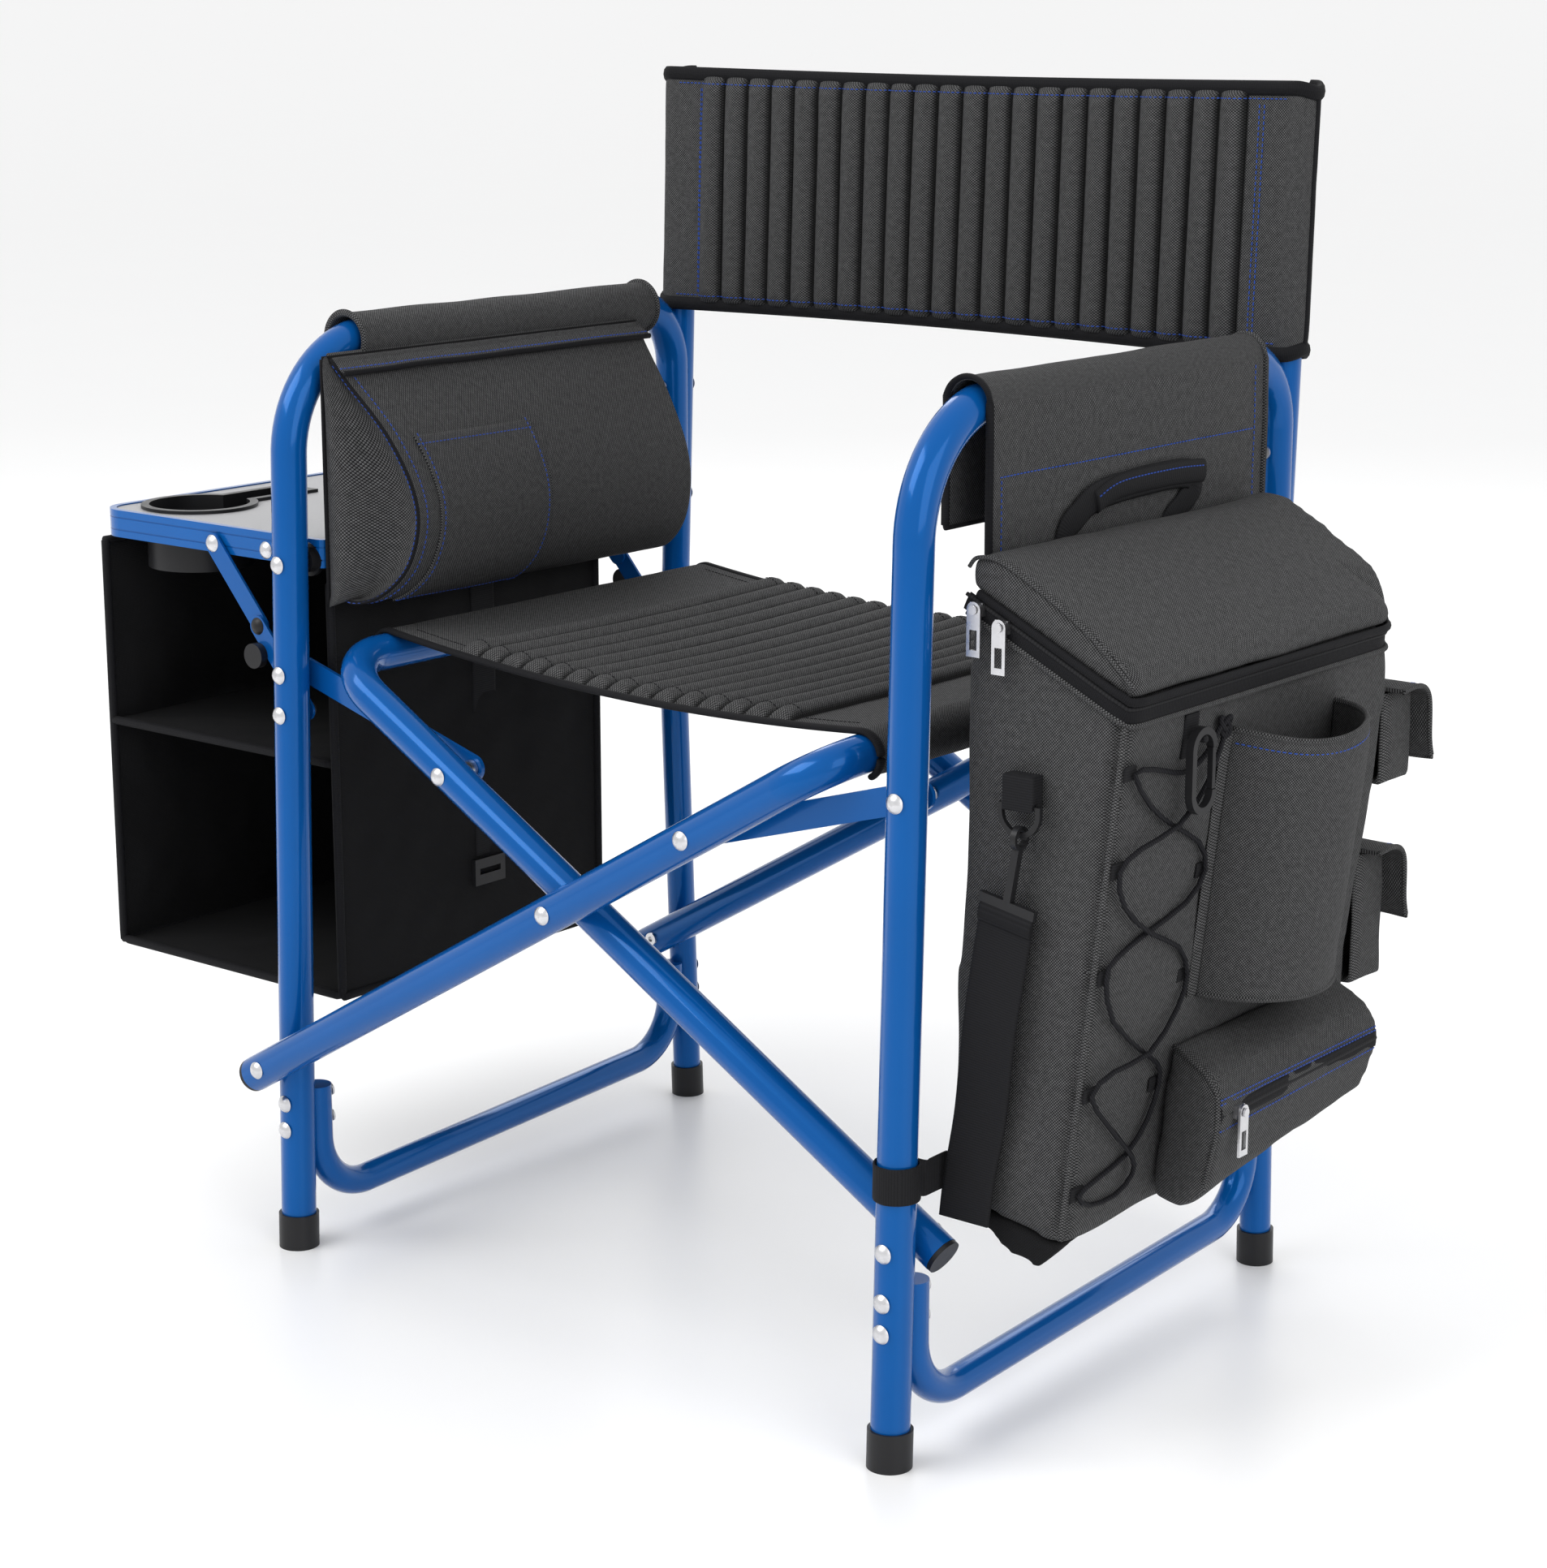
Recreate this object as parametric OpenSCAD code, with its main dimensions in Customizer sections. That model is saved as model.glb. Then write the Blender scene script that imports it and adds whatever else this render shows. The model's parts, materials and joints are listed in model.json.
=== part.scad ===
// Folding camp chair with a side table, an organizer and an insulated bag.
// Millimetres, +Z up. The sitter faces -Y, the table is at -X and the bag at +X.

/* [Frame] */
// Half the distance between the legs of the two side frames
leg_x = 278; // [274:1:284]
// Height of the arm tube's centre line
arm_z = 651.5; // [648:0.5:656]
// Height of the top of the back posts
post_top = 820; // [816:1:830]
// Outer radius of the arm tubes and the crossed tubes
tube_r = 12.5; // [12:0.1:12.6]
// Outer radius of the back posts
post_r = 11; // [10.6:0.1:11]

/* [Crossed tubes] */
// Height of the pivots between the crossed tubes and the legs
pivot_z = 141.5; // [139:0.5:144]
// Height where the two tubes cross
cross_z = 305; // [303:0.5:307]
// Distance of each seat rail from the middle of the chair
rail_x = 225; // [222:1:227]

/* [Table] */
// Length of the table outwards from its hinge bar
table_reach = 224; // [215:1:226]
// Diameter of the cup that the holder takes
cup_d = 74; // [68:1:76]

/* [Organizer] */
// Height of the organizer's floor
organizer_z = 180; // [176:1:200]
// Height of the organizer's shelf
shelf_z = 352; // [320:1:370]

/* [Bag] */
// Width of the bag along the arm
bag_w = 322; // [318:1:324]
// Diameter of the bottle pocket
bottle_d = 132; // [126:1:136]

/* [Hidden] */
$fn = 48;

// Colours.
BLUE = [0.05, 0.32, 0.66];
DARK = [0.16, 0.16, 0.17];
BLACK = [0.04, 0.04, 0.04];
STEEL = [0.8, 0.8, 0.82];
GREY = [0.78, 0.78, 0.79];

// The chair's middle in the object's frame, so that the whole box is centred.
chair_x = 20.8;
chair_y = -1.5;

// The right frame stands one tube further forward than the left one.
tube_step = 27;
left_y = tube_step / 2;
right_y = -tube_step / 2;

// Side frame: front leg and rear post lines.
foot_y = 218;
front_top_y = 202;
front_bend = 80;
rear_bend = 50;
rear_drop_y = 204.5;
drop_end_z = 520;
kink_y = 204;
kink_z = 350;
post_top_y = 222;
cap_h = 25;
front_top_z = arm_z - front_bend;
function front_y(z) = -foot_y + (foot_y - front_top_y) * z / front_top_z;
function rear_low(z) = foot_y + (kink_y - foot_y) * z / kink_z;
function rear_high(z) = kink_y + (post_top_y - kink_y) * (z - kink_z) / (post_top - kink_z);
function rear_y(z) = z < kink_z ? rear_low(z) : rear_high(z);

// Flat bars of the table's braces: where each layer starts, front pair and rear pair.
brace_t = 2;
brace_z = 393;
lower_front = left_y + front_y(brace_z) + tube_r + 0.5;
lower_rear = left_y + rear_y(brace_z) - post_r - 2.5;
upper_front = lower_front + 2.4;
upper_rear = lower_rear - 2.4;

// Crossed tubes. Tube one runs in front of the left leg, tube two behind the right one.
tilt = atan2(cross_z - pivot_z, leg_x);
arm_len = leg_x / cos(tilt);
rail_len = rail_x / cos(tilt);
link_len = 118 / cos(tilt);
rail_z = cross_z + rail_x * tan(tilt);
cross_bend = 40;
cross_end = 17;
one_front = -227;
one_rear = one_front + 427.5;
two_front = one_front + tube_step;
two_rear = one_rear + tube_step;
link_z = 421.5;
stretch_lo = 89.8;
stretch_hi = 109.5;
stretch_top = 116.5;
arm_rivet_z = 585;

// Rivets.
pin_r = 3;
fit = 0.08;
head_r = 6.2;

// Table.
hinge_z = 499;
hinge_r = 8.5;
table_in = -leg_x + 16;
table_out = -leg_x - table_reach;
table_lo = 494.5;
table_hi = 514.5;
table_front = -174.5;
table_rear = 201.5;
cup = [-452, -118];
cup_wall = 2.2;
cup_floor = 470;
slot_w = 26;
slot_end = -22;
brace_pivot = [-leg_x, brace_z];
brace_rim = [-372, 501.5];
brace_mid = (brace_pivot + brace_rim) / 2;
plate_rivet_x = -320;

// Organizer.
org_front = -168;
org_rear = 107;
org_top = 489;
wall = 2.5;

// Arms, seat and back.
sleeve_t = 2;
sleeve_r = tube_r + 3.2;
sleeve_drop = 2.5;
pouch_front = -160;
pouch_rear = 152;
seat_front = -158;
seat_rear = 160;
back_lo = 650;
back_hi = 820;
back_t = 7;

// Bag: side outline of the body and the lid, from the leg's outer side outwards.
bag_mid = -29;
bag_front = bag_mid - bag_w / 2;
bag_rear = bag_mid + bag_w / 2;
bag_back_top = [298, 546];
bag_back_low = [286, 168];
bag_face_low = [373, 150];
bag_face_top = [412, 491];
lid_hinge = [299, 562];
bag_wall = 4;
face_lean = atan((bag_face_top[0] - bag_face_low[0]) / (bag_face_top[1] - bag_face_low[1]));
bottle = [376, -8];
bottle_r = bottle_d / 2;
bottle_lo = 292;
bottle_hi = 458;
upper_flap_z = 448;
lower_flap_z = 338;
flap_front = -133;
flap_rear = 138;
function face_x(z) = bag_face_low[0] + (bag_face_top[0] - bag_face_low[0]) * (z - 150) / 341;
function back_x(z) = bag_back_low[0] + (bag_back_top[0] - bag_back_low[0]) * (z - 168) / 378;

// Bungee: heights of the tabs, where they are sewn on, and the cord's radius.
lace_left = -182;
lace_right = [-86, -92, -108];
lace_left_z = [450, 391, 325, 251, 187];
lace_right_z = [372, 306, 239];
cord_r = 1.6;

// Route of the bungee from one end to the other: y, z and height over the bag's face.
lace_route = [
  [-92, 463, 5], [-103, 449, 4.6], [-120, 441, 4.4], [-138, 443, 4.4], [-160, 449, 4.4],
  [-181, 450, 4.4], [-160, 427, 4.6], [-131, 409, 4.6], [-98, 392, 4.5], [-86, 372, 4.4],
  [-104, 355, 4.6], [-146, 345, 4.6], [-176, 336, 4.4], [-184, 325, 4.4], [-170, 295, 4.5],
  [-130, 265, 4.6], [-112, 253, 4.5], [-107, 239, 4.4], [-116, 217, 4.6], [-136, 200, 4.6],
  [-165, 193, 4.5], [-184, 187, 4.4], [-170, 177, 4.6], [-144, 176, 5.5], [-129, 186, 7],
  [-136, 201, 8.6], [-162, 226, 6], [-184, 251, 4.4], [-164, 262, 6], [-130, 266, 8.6],
  [-100, 286, 6], [-91, 306, 4.4], [-108, 328, 6], [-147, 346, 8.6], [-174, 367, 5],
  [-184, 391, 4.4], [-166, 402, 6], [-131, 410, 8.6], [-100, 430, 6], [-84, 462, 5]
];

// Spring clip, and the ring that the shoulder strap hooks on.
clip_x = 416;
clip_y = -120;
clip_z = 455;
clip_r = 13.5;
clip_len = 26;
ring_x = 344;
ring_z = 420;
hook_lean = 10;

// ---- Helpers ----

module place() {
  translate([chair_x, chair_y, 0]) children();
}

module left_side() {
  place() translate([-leg_x, left_y, 0]) children();
}

module right_side() {
  place() translate([leg_x, right_y, 0]) children();
}

// Straight round bar between two points.
module bar(p, q, r) {
  d = q - p;
  len = norm(d);
  translate(p) rotate([0, acos(d[2] / len), atan2(d[1], d[0])]) cylinder(r = r, h = len);
}

// Round bar bent through 90 degrees in the XY plane, from the +X side to the +Y side.
module elbow(bend, r) {
  rotate_extrude(angle = 90, $fn = 64) translate([bend, 0]) circle(r = r);
}

// Cylinder along +Y.
module along_y(x, y, z, r, len) {
  translate([x, y, z]) rotate([-90, 0, 0]) cylinder(r = r, h = len);
}

// Rivet along Y with a domed head at y_head and a flared tail at y_tail.
module rivet(x, z, y_head, y_tail) {
  s = y_tail > y_head ? 1 : -1;
  low = min(y_head, y_tail);
  along_y(x, low, z, pin_r, abs(y_tail - y_head));
  translate([x, y_head, z]) rotate([s * 90, 0, 0]) dome();
  translate([x, y_tail, z]) rotate([-s * 90, 0, 0]) flare();
}

// Domed rivet head standing on z = 0.
module dome() {
  intersection() {
    translate([0, 0, -4.2]) sphere(r = 7.5);
    cylinder(r = head_r, h = 4);
  }
}

// Rolled tail of a tubular rivet.
module flare() {
  difference() {
    cylinder(r = 5, h = 1.8);
    translate([0, 0, -0.1]) cylinder(r = 2.2, h = 3);
  }
}

// Rivet bore through everything at x and z.
module bore(x, z) {
  along_y(x, -300, z, pin_r + fit, 600);
}

// Outline given as x and z, extruded along Y from y0 to y1.
module along_profile(pts, y0, y1) {
  translate([0, y1, 0]) rotate([90, 0, 0]) linear_extrude(height = y1 - y0) polygon(pts);
}

// Flat box from its two corners.
module block(lo, hi) {
  translate(lo) cube(hi - lo);
}

// ---- Side frames ----

// Rivet bore through one leg at height z.
module leg_bore(y, z) {
  along_y(0, y - 30, z, pin_r + fit, 60);
}

module frame_arch(extra) {
  difference() {
    union() {
      bar([0, -foot_y, 0], [0, -front_top_y, front_top_z], tube_r);
      translate([0, -front_top_y, front_top_z]) sphere(r = tube_r);
      translate([0, front_bend - front_top_y, front_top_z]) rotate([90, 0, 90]) rotate([0, 0, 90])
        elbow(front_bend, tube_r);
      bar([0, front_bend - front_top_y, arm_z], [0, rear_drop_y - rear_bend, arm_z], tube_r);
      translate([0, rear_drop_y - rear_bend, arm_z - rear_bend]) rotate([90, 0, 90]) elbow(rear_bend, tube_r);
      bar([0, rear_drop_y, arm_z - rear_bend], [0, rear_drop_y, drop_end_z], tube_r);
    }
    translate([-50, -300, -50]) cube([100, 600, 53]);
    bar([0, rear_y(kink_z), kink_z], [0, rear_y(post_top), post_top], post_r + 0.1);
    for (z = concat([pivot_z, link_z, stretch_lo, stretch_hi], extra)) leg_bore(front_y(z), z);
    leg_bore(rear_drop_y, arm_rivet_z);
  }
}

module frame_post(extra) {
  difference() {
    union() {
      bar([0, foot_y, 0], [0, kink_y, kink_z], post_r);
      translate([0, kink_y, kink_z]) sphere(r = post_r);
      bar([0, kink_y, kink_z], [0, post_top_y, post_top], post_r);
    }
    translate([-50, 100, -50]) cube([100, 200, 53]);
    for (z = concat([pivot_z, link_z, stretch_lo, stretch_hi, arm_rivet_z], extra)) leg_bore(rear_y(z), z);
  }
}

// Foot bar: bent up at both ends and riveted behind the front leg and before the rear one.
module frame_stretcher() {
  r = 10.5;
  bend = 45;
  y0 = front_y(100) + tube_r + 7;
  y1 = rear_y(100) - post_r - 7;
  z0 = 32;
  z1 = 44;
  difference() {
    union() {
      bar([0, y0, z0 + bend], [0, y0, stretch_top], r);
      translate([0, y0 + bend, z0 + bend]) rotate([90, 0, 90]) rotate([0, 0, 180]) elbow(bend, r);
      translate([0, y0 + bend, z0]) sphere(r = r);
      bar([0, y0 + bend, z0], [0, y1 - bend, z1], r);
      translate([0, y1 - bend, z1]) sphere(r = r);
      translate([0, y1 - bend, z1 + bend]) rotate([90, 0, 90]) rotate([0, 0, 270]) elbow(bend, r);
      bar([0, y1, z1 + bend], [0, y1, stretch_top], r);
    }
    bar([0, -foot_y, 0], [0, -front_top_y, front_top_z], tube_r + 0.1);
    bar([0, foot_y, 0], [0, kink_y, kink_z], post_r + 0.1);
    for (z = [stretch_lo, stretch_hi]) bore(0, z);
  }
}

module foot_cap(y, top, r) {
  p = [0, y, 0];
  d = (top - p) / norm(top - p);
  difference() {
    bar(p - 5 * d, p + cap_h * d, r + 2);
    translate([-50, -300, -50]) cube([100, 600, 50]);
    intersection() {
      bar(p - 5 * d, top, r + 0.05);
      translate([-50, -300, 3]) cube([100, 600, 200]);
    }
  }
}

module foot_caps() {
  foot_cap(-foot_y, [0, -front_top_y, front_top_z], tube_r);
  foot_cap(foot_y, [0, kink_y, kink_z], post_r);
}

// Rivets that hold the foot bar and the arm tube's rear end.
module frame_rivets() {
  inner_f = front_y(100) + tube_r + 7 + 10.5;
  inner_r = rear_y(100) - post_r - 7 - 10.5;
  for (z = [stretch_lo, stretch_hi]) {
    rivet(0, z, front_y(z) - tube_r - 0.2, inner_f + 0.4);
    rivet(0, z, rear_y(z) + post_r + 0.4, inner_r - 0.4);
  }
  rivet(0, arm_rivet_z, rear_y(arm_rivet_z) + post_r + 0.4, rear_drop_y - tube_r - 0.2);
}

module left_frame_tube() color(BLUE) left_side() frame_arch([hinge_z, brace_z]);
module left_back_post() color(BLUE) left_side() frame_post([hinge_z, brace_z]);
module left_stretcher() color(BLUE) left_side() frame_stretcher();
module right_frame_tube() color(BLUE) right_side() frame_arch([]);
module right_back_post() color(BLUE) right_side() frame_post([]);
module right_stretcher() color(BLUE) right_side() frame_stretcher();
module foot_caps_left() color(BLACK) left_side() foot_caps();
module foot_caps_right() color(BLACK) right_side() foot_caps();

module frame_rivets_left() {
  color(STEEL) {
    left_side() frame_rivets();
    place() {
      f = left_y + front_y(link_z) - tube_r;
      rivet(-leg_x, link_z, f - 0.2, left_y + front_y(link_z) + tube_r + 5);
      rivet(-leg_x, link_z, left_y + rear_y(link_z) + post_r + 0.4, left_y + rear_y(link_z) - post_r - 5);
      rivet(-leg_x, brace_pivot[1], left_y + front_y(brace_z) - tube_r - 0.2, left_y + front_y(brace_z) + tube_r + 4);
      rivet(-leg_x, brace_pivot[1], left_y + rear_y(brace_z) + post_r + 0.4, left_y + rear_y(brace_z) - post_r - 4);
      rivet(-leg_x, hinge_z, left_y + front_y(hinge_z) - tube_r - 0.2, left_y + front_y(hinge_z) + tube_r + 8);
      rivet(-leg_x, hinge_z, left_y + rear_y(hinge_z) + post_r + 0.4, left_y + rear_y(hinge_z) - post_r - 8);
    }
  }
}

module frame_rivets_right() {
  color(STEEL) {
    right_side() frame_rivets();
    place() {
      f = right_y + front_y(link_z);
      r = right_y + rear_y(link_z);
      rivet(leg_x, link_z, f - tube_r - 0.2, f + tube_r + 5);
      rivet(leg_x, link_z, r + post_r + 0.4, r - post_r - 5);
      p = right_y + front_y(pivot_z) - tube_r;
      rivet(leg_x, pivot_z, p - 0.2, two_front + tube_r + 0.3);
      rivet(leg_x, pivot_z, two_rear + tube_r + 0.3, right_y + rear_y(pivot_z) - post_r - 0.2);
    }
  }
}

// ---- Crossed tubes ----

// U of tube in its own plane: x runs up the tube from its pivot, y runs to the rear.
module cross_u(front, rear) {
  end = arm_len + rail_len;
  bar([-cross_end, front, 0], [end - cross_bend, front, 0], tube_r);
  translate([end - cross_bend, front + cross_bend, 0]) rotate([0, 0, 270]) elbow(cross_bend, tube_r);
  bar([end, front + cross_bend, 0], [end, rear - cross_bend, 0], tube_r);
  translate([end - cross_bend, rear - cross_bend, 0]) elbow(cross_bend, tube_r);
  bar([end - cross_bend, rear, 0], [-cross_end, rear, 0], tube_r);
}

module cross_bores() {
  for (s = [0, arm_len, arm_len + link_len]) bore(s, 0);
}

module cross_plugs(front, rear) {
  for (y = [front, rear])
    translate([-cross_end - 3, y, 0]) rotate([0, 90, 0]) cylinder(r = tube_r - 0.3, h = 2.9);
}

// Puts the tube's own plane at the left pivot, rising to the right.
module as_tube_one() {
  place() translate([-leg_x, 0, pivot_z]) rotate([0, -tilt, 0]) children();
}

// Puts the tube's own plane at the right pivot, rising to the left.
module as_tube_two() {
  place() translate([leg_x, 0, pivot_z]) mirror([1, 0, 0]) rotate([0, -tilt, 0]) children();
}

module cross_tube_one() {
  color(BLUE) as_tube_one() difference() {
    cross_u(one_front, one_rear);
    cross_bores();
  }
}

module cross_tube_two() {
  color(BLUE) as_tube_two() difference() {
    cross_u(two_front, two_rear);
    cross_bores();
  }
}

module cross_plugs_one() color(BLACK) as_tube_one() cross_plugs(one_front, one_rear);
module cross_plugs_two() color(BLACK) as_tube_two() cross_plugs(two_front, two_rear);

// Collar that keeps a link clear of a crossed tube, with the rivet that ends inside it.
module link_stud(head, face, end) {
  s = end > head ? 1 : -1;
  along_y(0, min(head, end), 0, pin_r, abs(end - head));
  translate([0, head, 0]) rotate([s * 90, 0, 0]) dome();
  translate([0, 0, 0]) difference() {
    along_y(0, min(face, end), 0, 6, abs(end - face));
    along_y(0, min(face, end) - 1, 0, pin_r, abs(end - face) + 2);
  }
}

module cross_rivets_one() {
  color(STEEL) as_tube_one() {
    leg_back = left_y + front_y(pivot_z) + tube_r;
    post_back = left_y + rear_y(pivot_z) + post_r;
    rivet(0, 0, one_front - tube_r - 0.2, leg_back + 0.3);
    rivet(0, 0, post_back + 0.3, one_rear - tube_r - 0.2);
    rivet(arm_len, 0, one_front - tube_r - 0.2, two_front + tube_r + 0.3);
    rivet(arm_len, 0, two_rear + tube_r + 0.3, one_rear - tube_r - 0.2);
    link_f = right_y + front_y(link_z) + tube_r + 1;
    link_r = right_y + rear_y(link_z) - post_r - 1;
    translate([arm_len + link_len, 0, 0]) {
      link_stud(one_front - tube_r - 0.2, one_front + tube_r + 0.2, link_f - 0.5);
      link_stud(one_rear + tube_r + 0.2, one_rear - tube_r - 0.2, link_r + 0.5);
    }
  }
}

module cross_rivets_two() {
  color(STEEL) as_tube_two() {
    link_f = left_y + front_y(link_z) + tube_r + 1;
    link_r = left_y + rear_y(link_z) - post_r - 1;
    translate([arm_len + link_len, 0, 0]) {
      link_stud(two_front - tube_r - 0.2, two_front + tube_r + 0.2, link_f - 0.5);
      link_stud(two_rear + tube_r + 0.2, two_rear - tube_r - 0.2, link_r + 0.5);
    }
  }
}

// Flat link from the leg's pivot to the stud on the crossed tube, y0 to y0 + 3.
module link_plate(y0) {
  from = [0, link_z];
  to = [leg_x - 118, cross_z + 118 * tan(tilt)];
  d = to - from;
  len = norm(d);
  translate([from[0], y0 + 3, from[1]]) rotate([90, 0, 0]) rotate([0, 0, atan2(d[1], d[0])])
    difference() {
      union() {
        cylinder(r = 9, h = 3);
        translate([0, -9, 0]) cube([len, 18, 3]);
        translate([len, 0, 0]) cylinder(r = 9, h = 3);
      }
      translate([0, 0, -1]) cylinder(r = pin_r + fit, h = 5);
    }
}

module link_at_left() place() translate([-leg_x, 0, 0]) children();
module link_at_right() place() translate([leg_x, 0, 0]) mirror([1, 0, 0]) children();

module link_left_front() color(BLUE) link_at_left() link_plate(left_y + front_y(link_z) + tube_r + 1);
module link_left_rear() color(BLUE) link_at_left() link_plate(left_y + rear_y(link_z) - post_r - 4);
module link_right_front() color(BLUE) link_at_right() link_plate(right_y + front_y(link_z) + tube_r + 1);
module link_right_rear() color(BLUE) link_at_right() link_plate(right_y + rear_y(link_z) - post_r - 4);

// ---- Table ----

module table_hinge_bar() {
  color(BLACK) place() difference() {
    y0 = left_y + front_y(hinge_z) + tube_r + 0.3;
    y1 = left_y + rear_y(hinge_z) - post_r - 0.3;
    along_y(-leg_x, y0, hinge_z, hinge_r, y1 - y0);
    along_y(-leg_x, y0 - 1, hinge_z, 5.1, 10.5);
    along_y(-leg_x, y1 - 9.5, hinge_z, 5.1, 10.5);
  }
}

// Outline of the table, shrunk by t, with large corners at its outer end.
module table_outline(t) {
  r = 24 - t;
  s = 7 - t;
  x0 = table_out + t;
  x1 = table_in - t;
  y0 = table_front + t;
  y1 = table_rear - t;
  translate([x0 + r, y0]) square([x1 - s - x0 - r, y1 - y0]);
  translate([x0, y0 + r]) square([r, y1 - y0 - 2 * r]);
  translate([x1 - s, y0 + s]) square([s, y1 - y0 - 2 * s]);
  for (y = [y0 + r, y1 - r]) translate([x0 + r, y]) circle(r = r);
  for (y = [y0 + s, y1 - s]) translate([x1 - s, y]) circle(r = s);
}

module cup_outline(grow) {
  translate(cup) circle(r = cup_d / 2 + grow);
  translate([cup[0] - slot_w / 2 - grow, cup[1]]) square([slot_w + 2 * grow, slot_end - cup[1] + grow]);
}

module table_top() {
  color(GREY) place() translate([0, 0, table_hi - 4]) linear_extrude(height = 3) difference() {
    table_outline(1.8);
    cup_outline(2.6);
  }
}

module table_rim() {
  color(BLUE) place() difference() {
    translate([0, 0, table_lo]) linear_extrude(height = table_hi - table_lo) table_outline(0);
    translate([0, 0, table_lo + 1.6]) linear_extrude(height = table_hi - table_lo - 1.6 - 0.9)
      table_outline(1.7);
    translate([0, 0, table_lo - 1]) linear_extrude(height = table_hi - table_lo + 2) table_outline(5);
    for (z = [table_hi - 6, table_hi - 15]) translate([0, 0, z]) linear_extrude(height = 1) difference() {
      table_outline(-1);
      table_outline(0.6);
    }
    for (y = [table_front - 1, table_rear - 6])
      along_y(-leg_x, y, hinge_z, 13, 7);
    for (x = [brace_rim[0], plate_rivet_x]) bore(x, brace_rim[1]);
  }
}

// Plates inside the rim that turn on the hinge bar.
module table_hinge_plates() {
  color(BLACK) place() for (y = [table_front + 1.9, table_rear - 4.9])
    difference() {
      union() {
        block([plate_rivet_x - 12, y, 496.5], [-leg_x, y + 3, 509]);
        along_y(-leg_x, y, hinge_z, 11.5, 3);
      }
      along_y(-leg_x, y - 1, hinge_z, hinge_r + 0.1, 5);
      bore(plate_rivet_x, brace_rim[1]);
    }
}

module table_rivets() {
  color(STEEL) place() {
    rivet(plate_rivet_x, brace_rim[1], table_front - 0.2, table_front + 5.2);
    rivet(plate_rivet_x, brace_rim[1], table_rear + 0.2, table_rear - 5.2);
    rivet(brace_rim[0], brace_rim[1], upper_front - 0.2, table_front + 2.2);
    rivet(brace_rim[0], brace_rim[1], upper_rear + brace_t + 0.2, table_rear - 2.2);
  }
}

module cup_holder() {
  color(BLACK) place() difference() {
    union() {
      translate([0, 0, cup_floor]) linear_extrude(height = table_hi - cup_floor) cup_outline(cup_wall);
      translate([0, 0, table_hi - 0.9]) linear_extrude(height = 2.4) cup_outline(6);
    }
    translate([0, 0, cup_floor + 2]) linear_extrude(height = 60) cup_outline(0);
  }
}

// Half brace between two points, a flat bar with a bored eye at its first end.
module brace_bar(p, q, y0) {
  d = q - p;
  len = norm(d);
  t = brace_t;
  translate([p[0], y0 + t, p[1]]) rotate([90, 0, 0]) rotate([0, 0, atan2(d[1], d[0])])
    difference() {
      union() {
        cylinder(r = 7.5, h = t);
        translate([0, -7.5, 0]) cube([len, 15, t]);
        translate([len, 0, 0]) cylinder(r = 7.5, h = t);
      }
      translate([0, 0, -1]) cylinder(r = pin_r + fit, h = t + 2);
    }
}

module brace_lower() {
  color(BLUE) place() {
    brace_bar(brace_pivot, brace_mid, lower_front);
    brace_bar(brace_pivot, brace_mid, lower_rear);
  }
}

module brace_upper() {
  color(BLUE) place() {
    brace_bar(brace_rim, brace_mid, upper_front);
    brace_bar(brace_rim, brace_mid, upper_rear);
  }
}

// Rivet heads at the elbow and the round stop below it, fixed to the lower half.
module brace_lock() {
  along = (brace_pivot - brace_mid) / norm(brace_pivot - brace_mid);
  side = [along[1], -along[0]];
  stop = brace_mid + 16 * along + 13 * side;
  color(BLACK) place() {
    for (f = [[lower_front, -1], [lower_rear + brace_t, 1]]) {
      translate([brace_mid[0], f[0] + f[1] * 0.05, brace_mid[1]]) rotate([-f[1] * 90, 0, 0]) dome();
      translate([stop[0], f[0] + f[1] * 0.05, stop[1]]) rotate([-f[1] * 90, 0, 0]) cylinder(r = 9, h = 6);
    }
  }
}

// ---- Organizer ----

module organizer() {
  x0 = table_out;
  x1 = table_in;
  color(DARK) place() difference() {
    block([x0, org_front, organizer_z], [x1, org_rear, org_top]);
    block([x0 + wall, org_front - 1, organizer_z + wall], [x1 - wall, org_rear - wall, shelf_z]);
    block([x0 + wall, org_front - 1, shelf_z + wall], [x1 - wall, org_rear - wall, org_top + 1]);
  }
}

module organizer_strap() {
  color(BLACK) place() block([table_in + 0.2, -30, 258], [table_in + 1.6, -6, 486]);
}

module organizer_buckle() {
  color(BLACK) place() difference() {
    block([table_in + 0.2, -34, 236], [table_in + 4.2, -2, 256]);
    block([table_in - 1, -29, 244], [table_in + 6, -7, 248.5]);
  }
}

// ---- Arms, seat and back ----

module sleeve_ring(x, y0, y1) {
  difference() {
    along_y(x, y0, arm_z - sleeve_drop, sleeve_r + sleeve_t, y1 - y0);
    along_y(x, y0 - 1, arm_z - sleeve_drop, sleeve_r, y1 - y0 + 2);
  }
}

module arm_sleeve() {
  color(DARK) place() sleeve_ring(-leg_x, left_y - 130, left_y + 158);
}

// Soft pouch that hangs on the inner side of the left arm.
module arm_pouch() {
  pts = [
    [-254, 634], [-250, 634], [-228, 600], [-208, 560], [-202, 528],
    [-208, 494], [-224, 474], [-240, 470], [-252, 482]
  ];
  color(DARK) place() along_profile(pts, pouch_front, pouch_rear);
}

module seat_panel() {
  top = rail_z + tube_r + 0.3;
  color(DARK) place() difference() {
    union() {
      block([-rail_x, seat_front, top], [rail_x, seat_rear, top + 3]);
      for (x = [-rail_x, rail_x]) along_y(x, seat_front, rail_z, tube_r + 2.6, seat_rear - seat_front);
    }
    for (x = [-rail_x, rail_x]) along_y(x, seat_front - 1, rail_z, tube_r + 0.3, seat_rear - seat_front + 2);
  }
}

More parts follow.
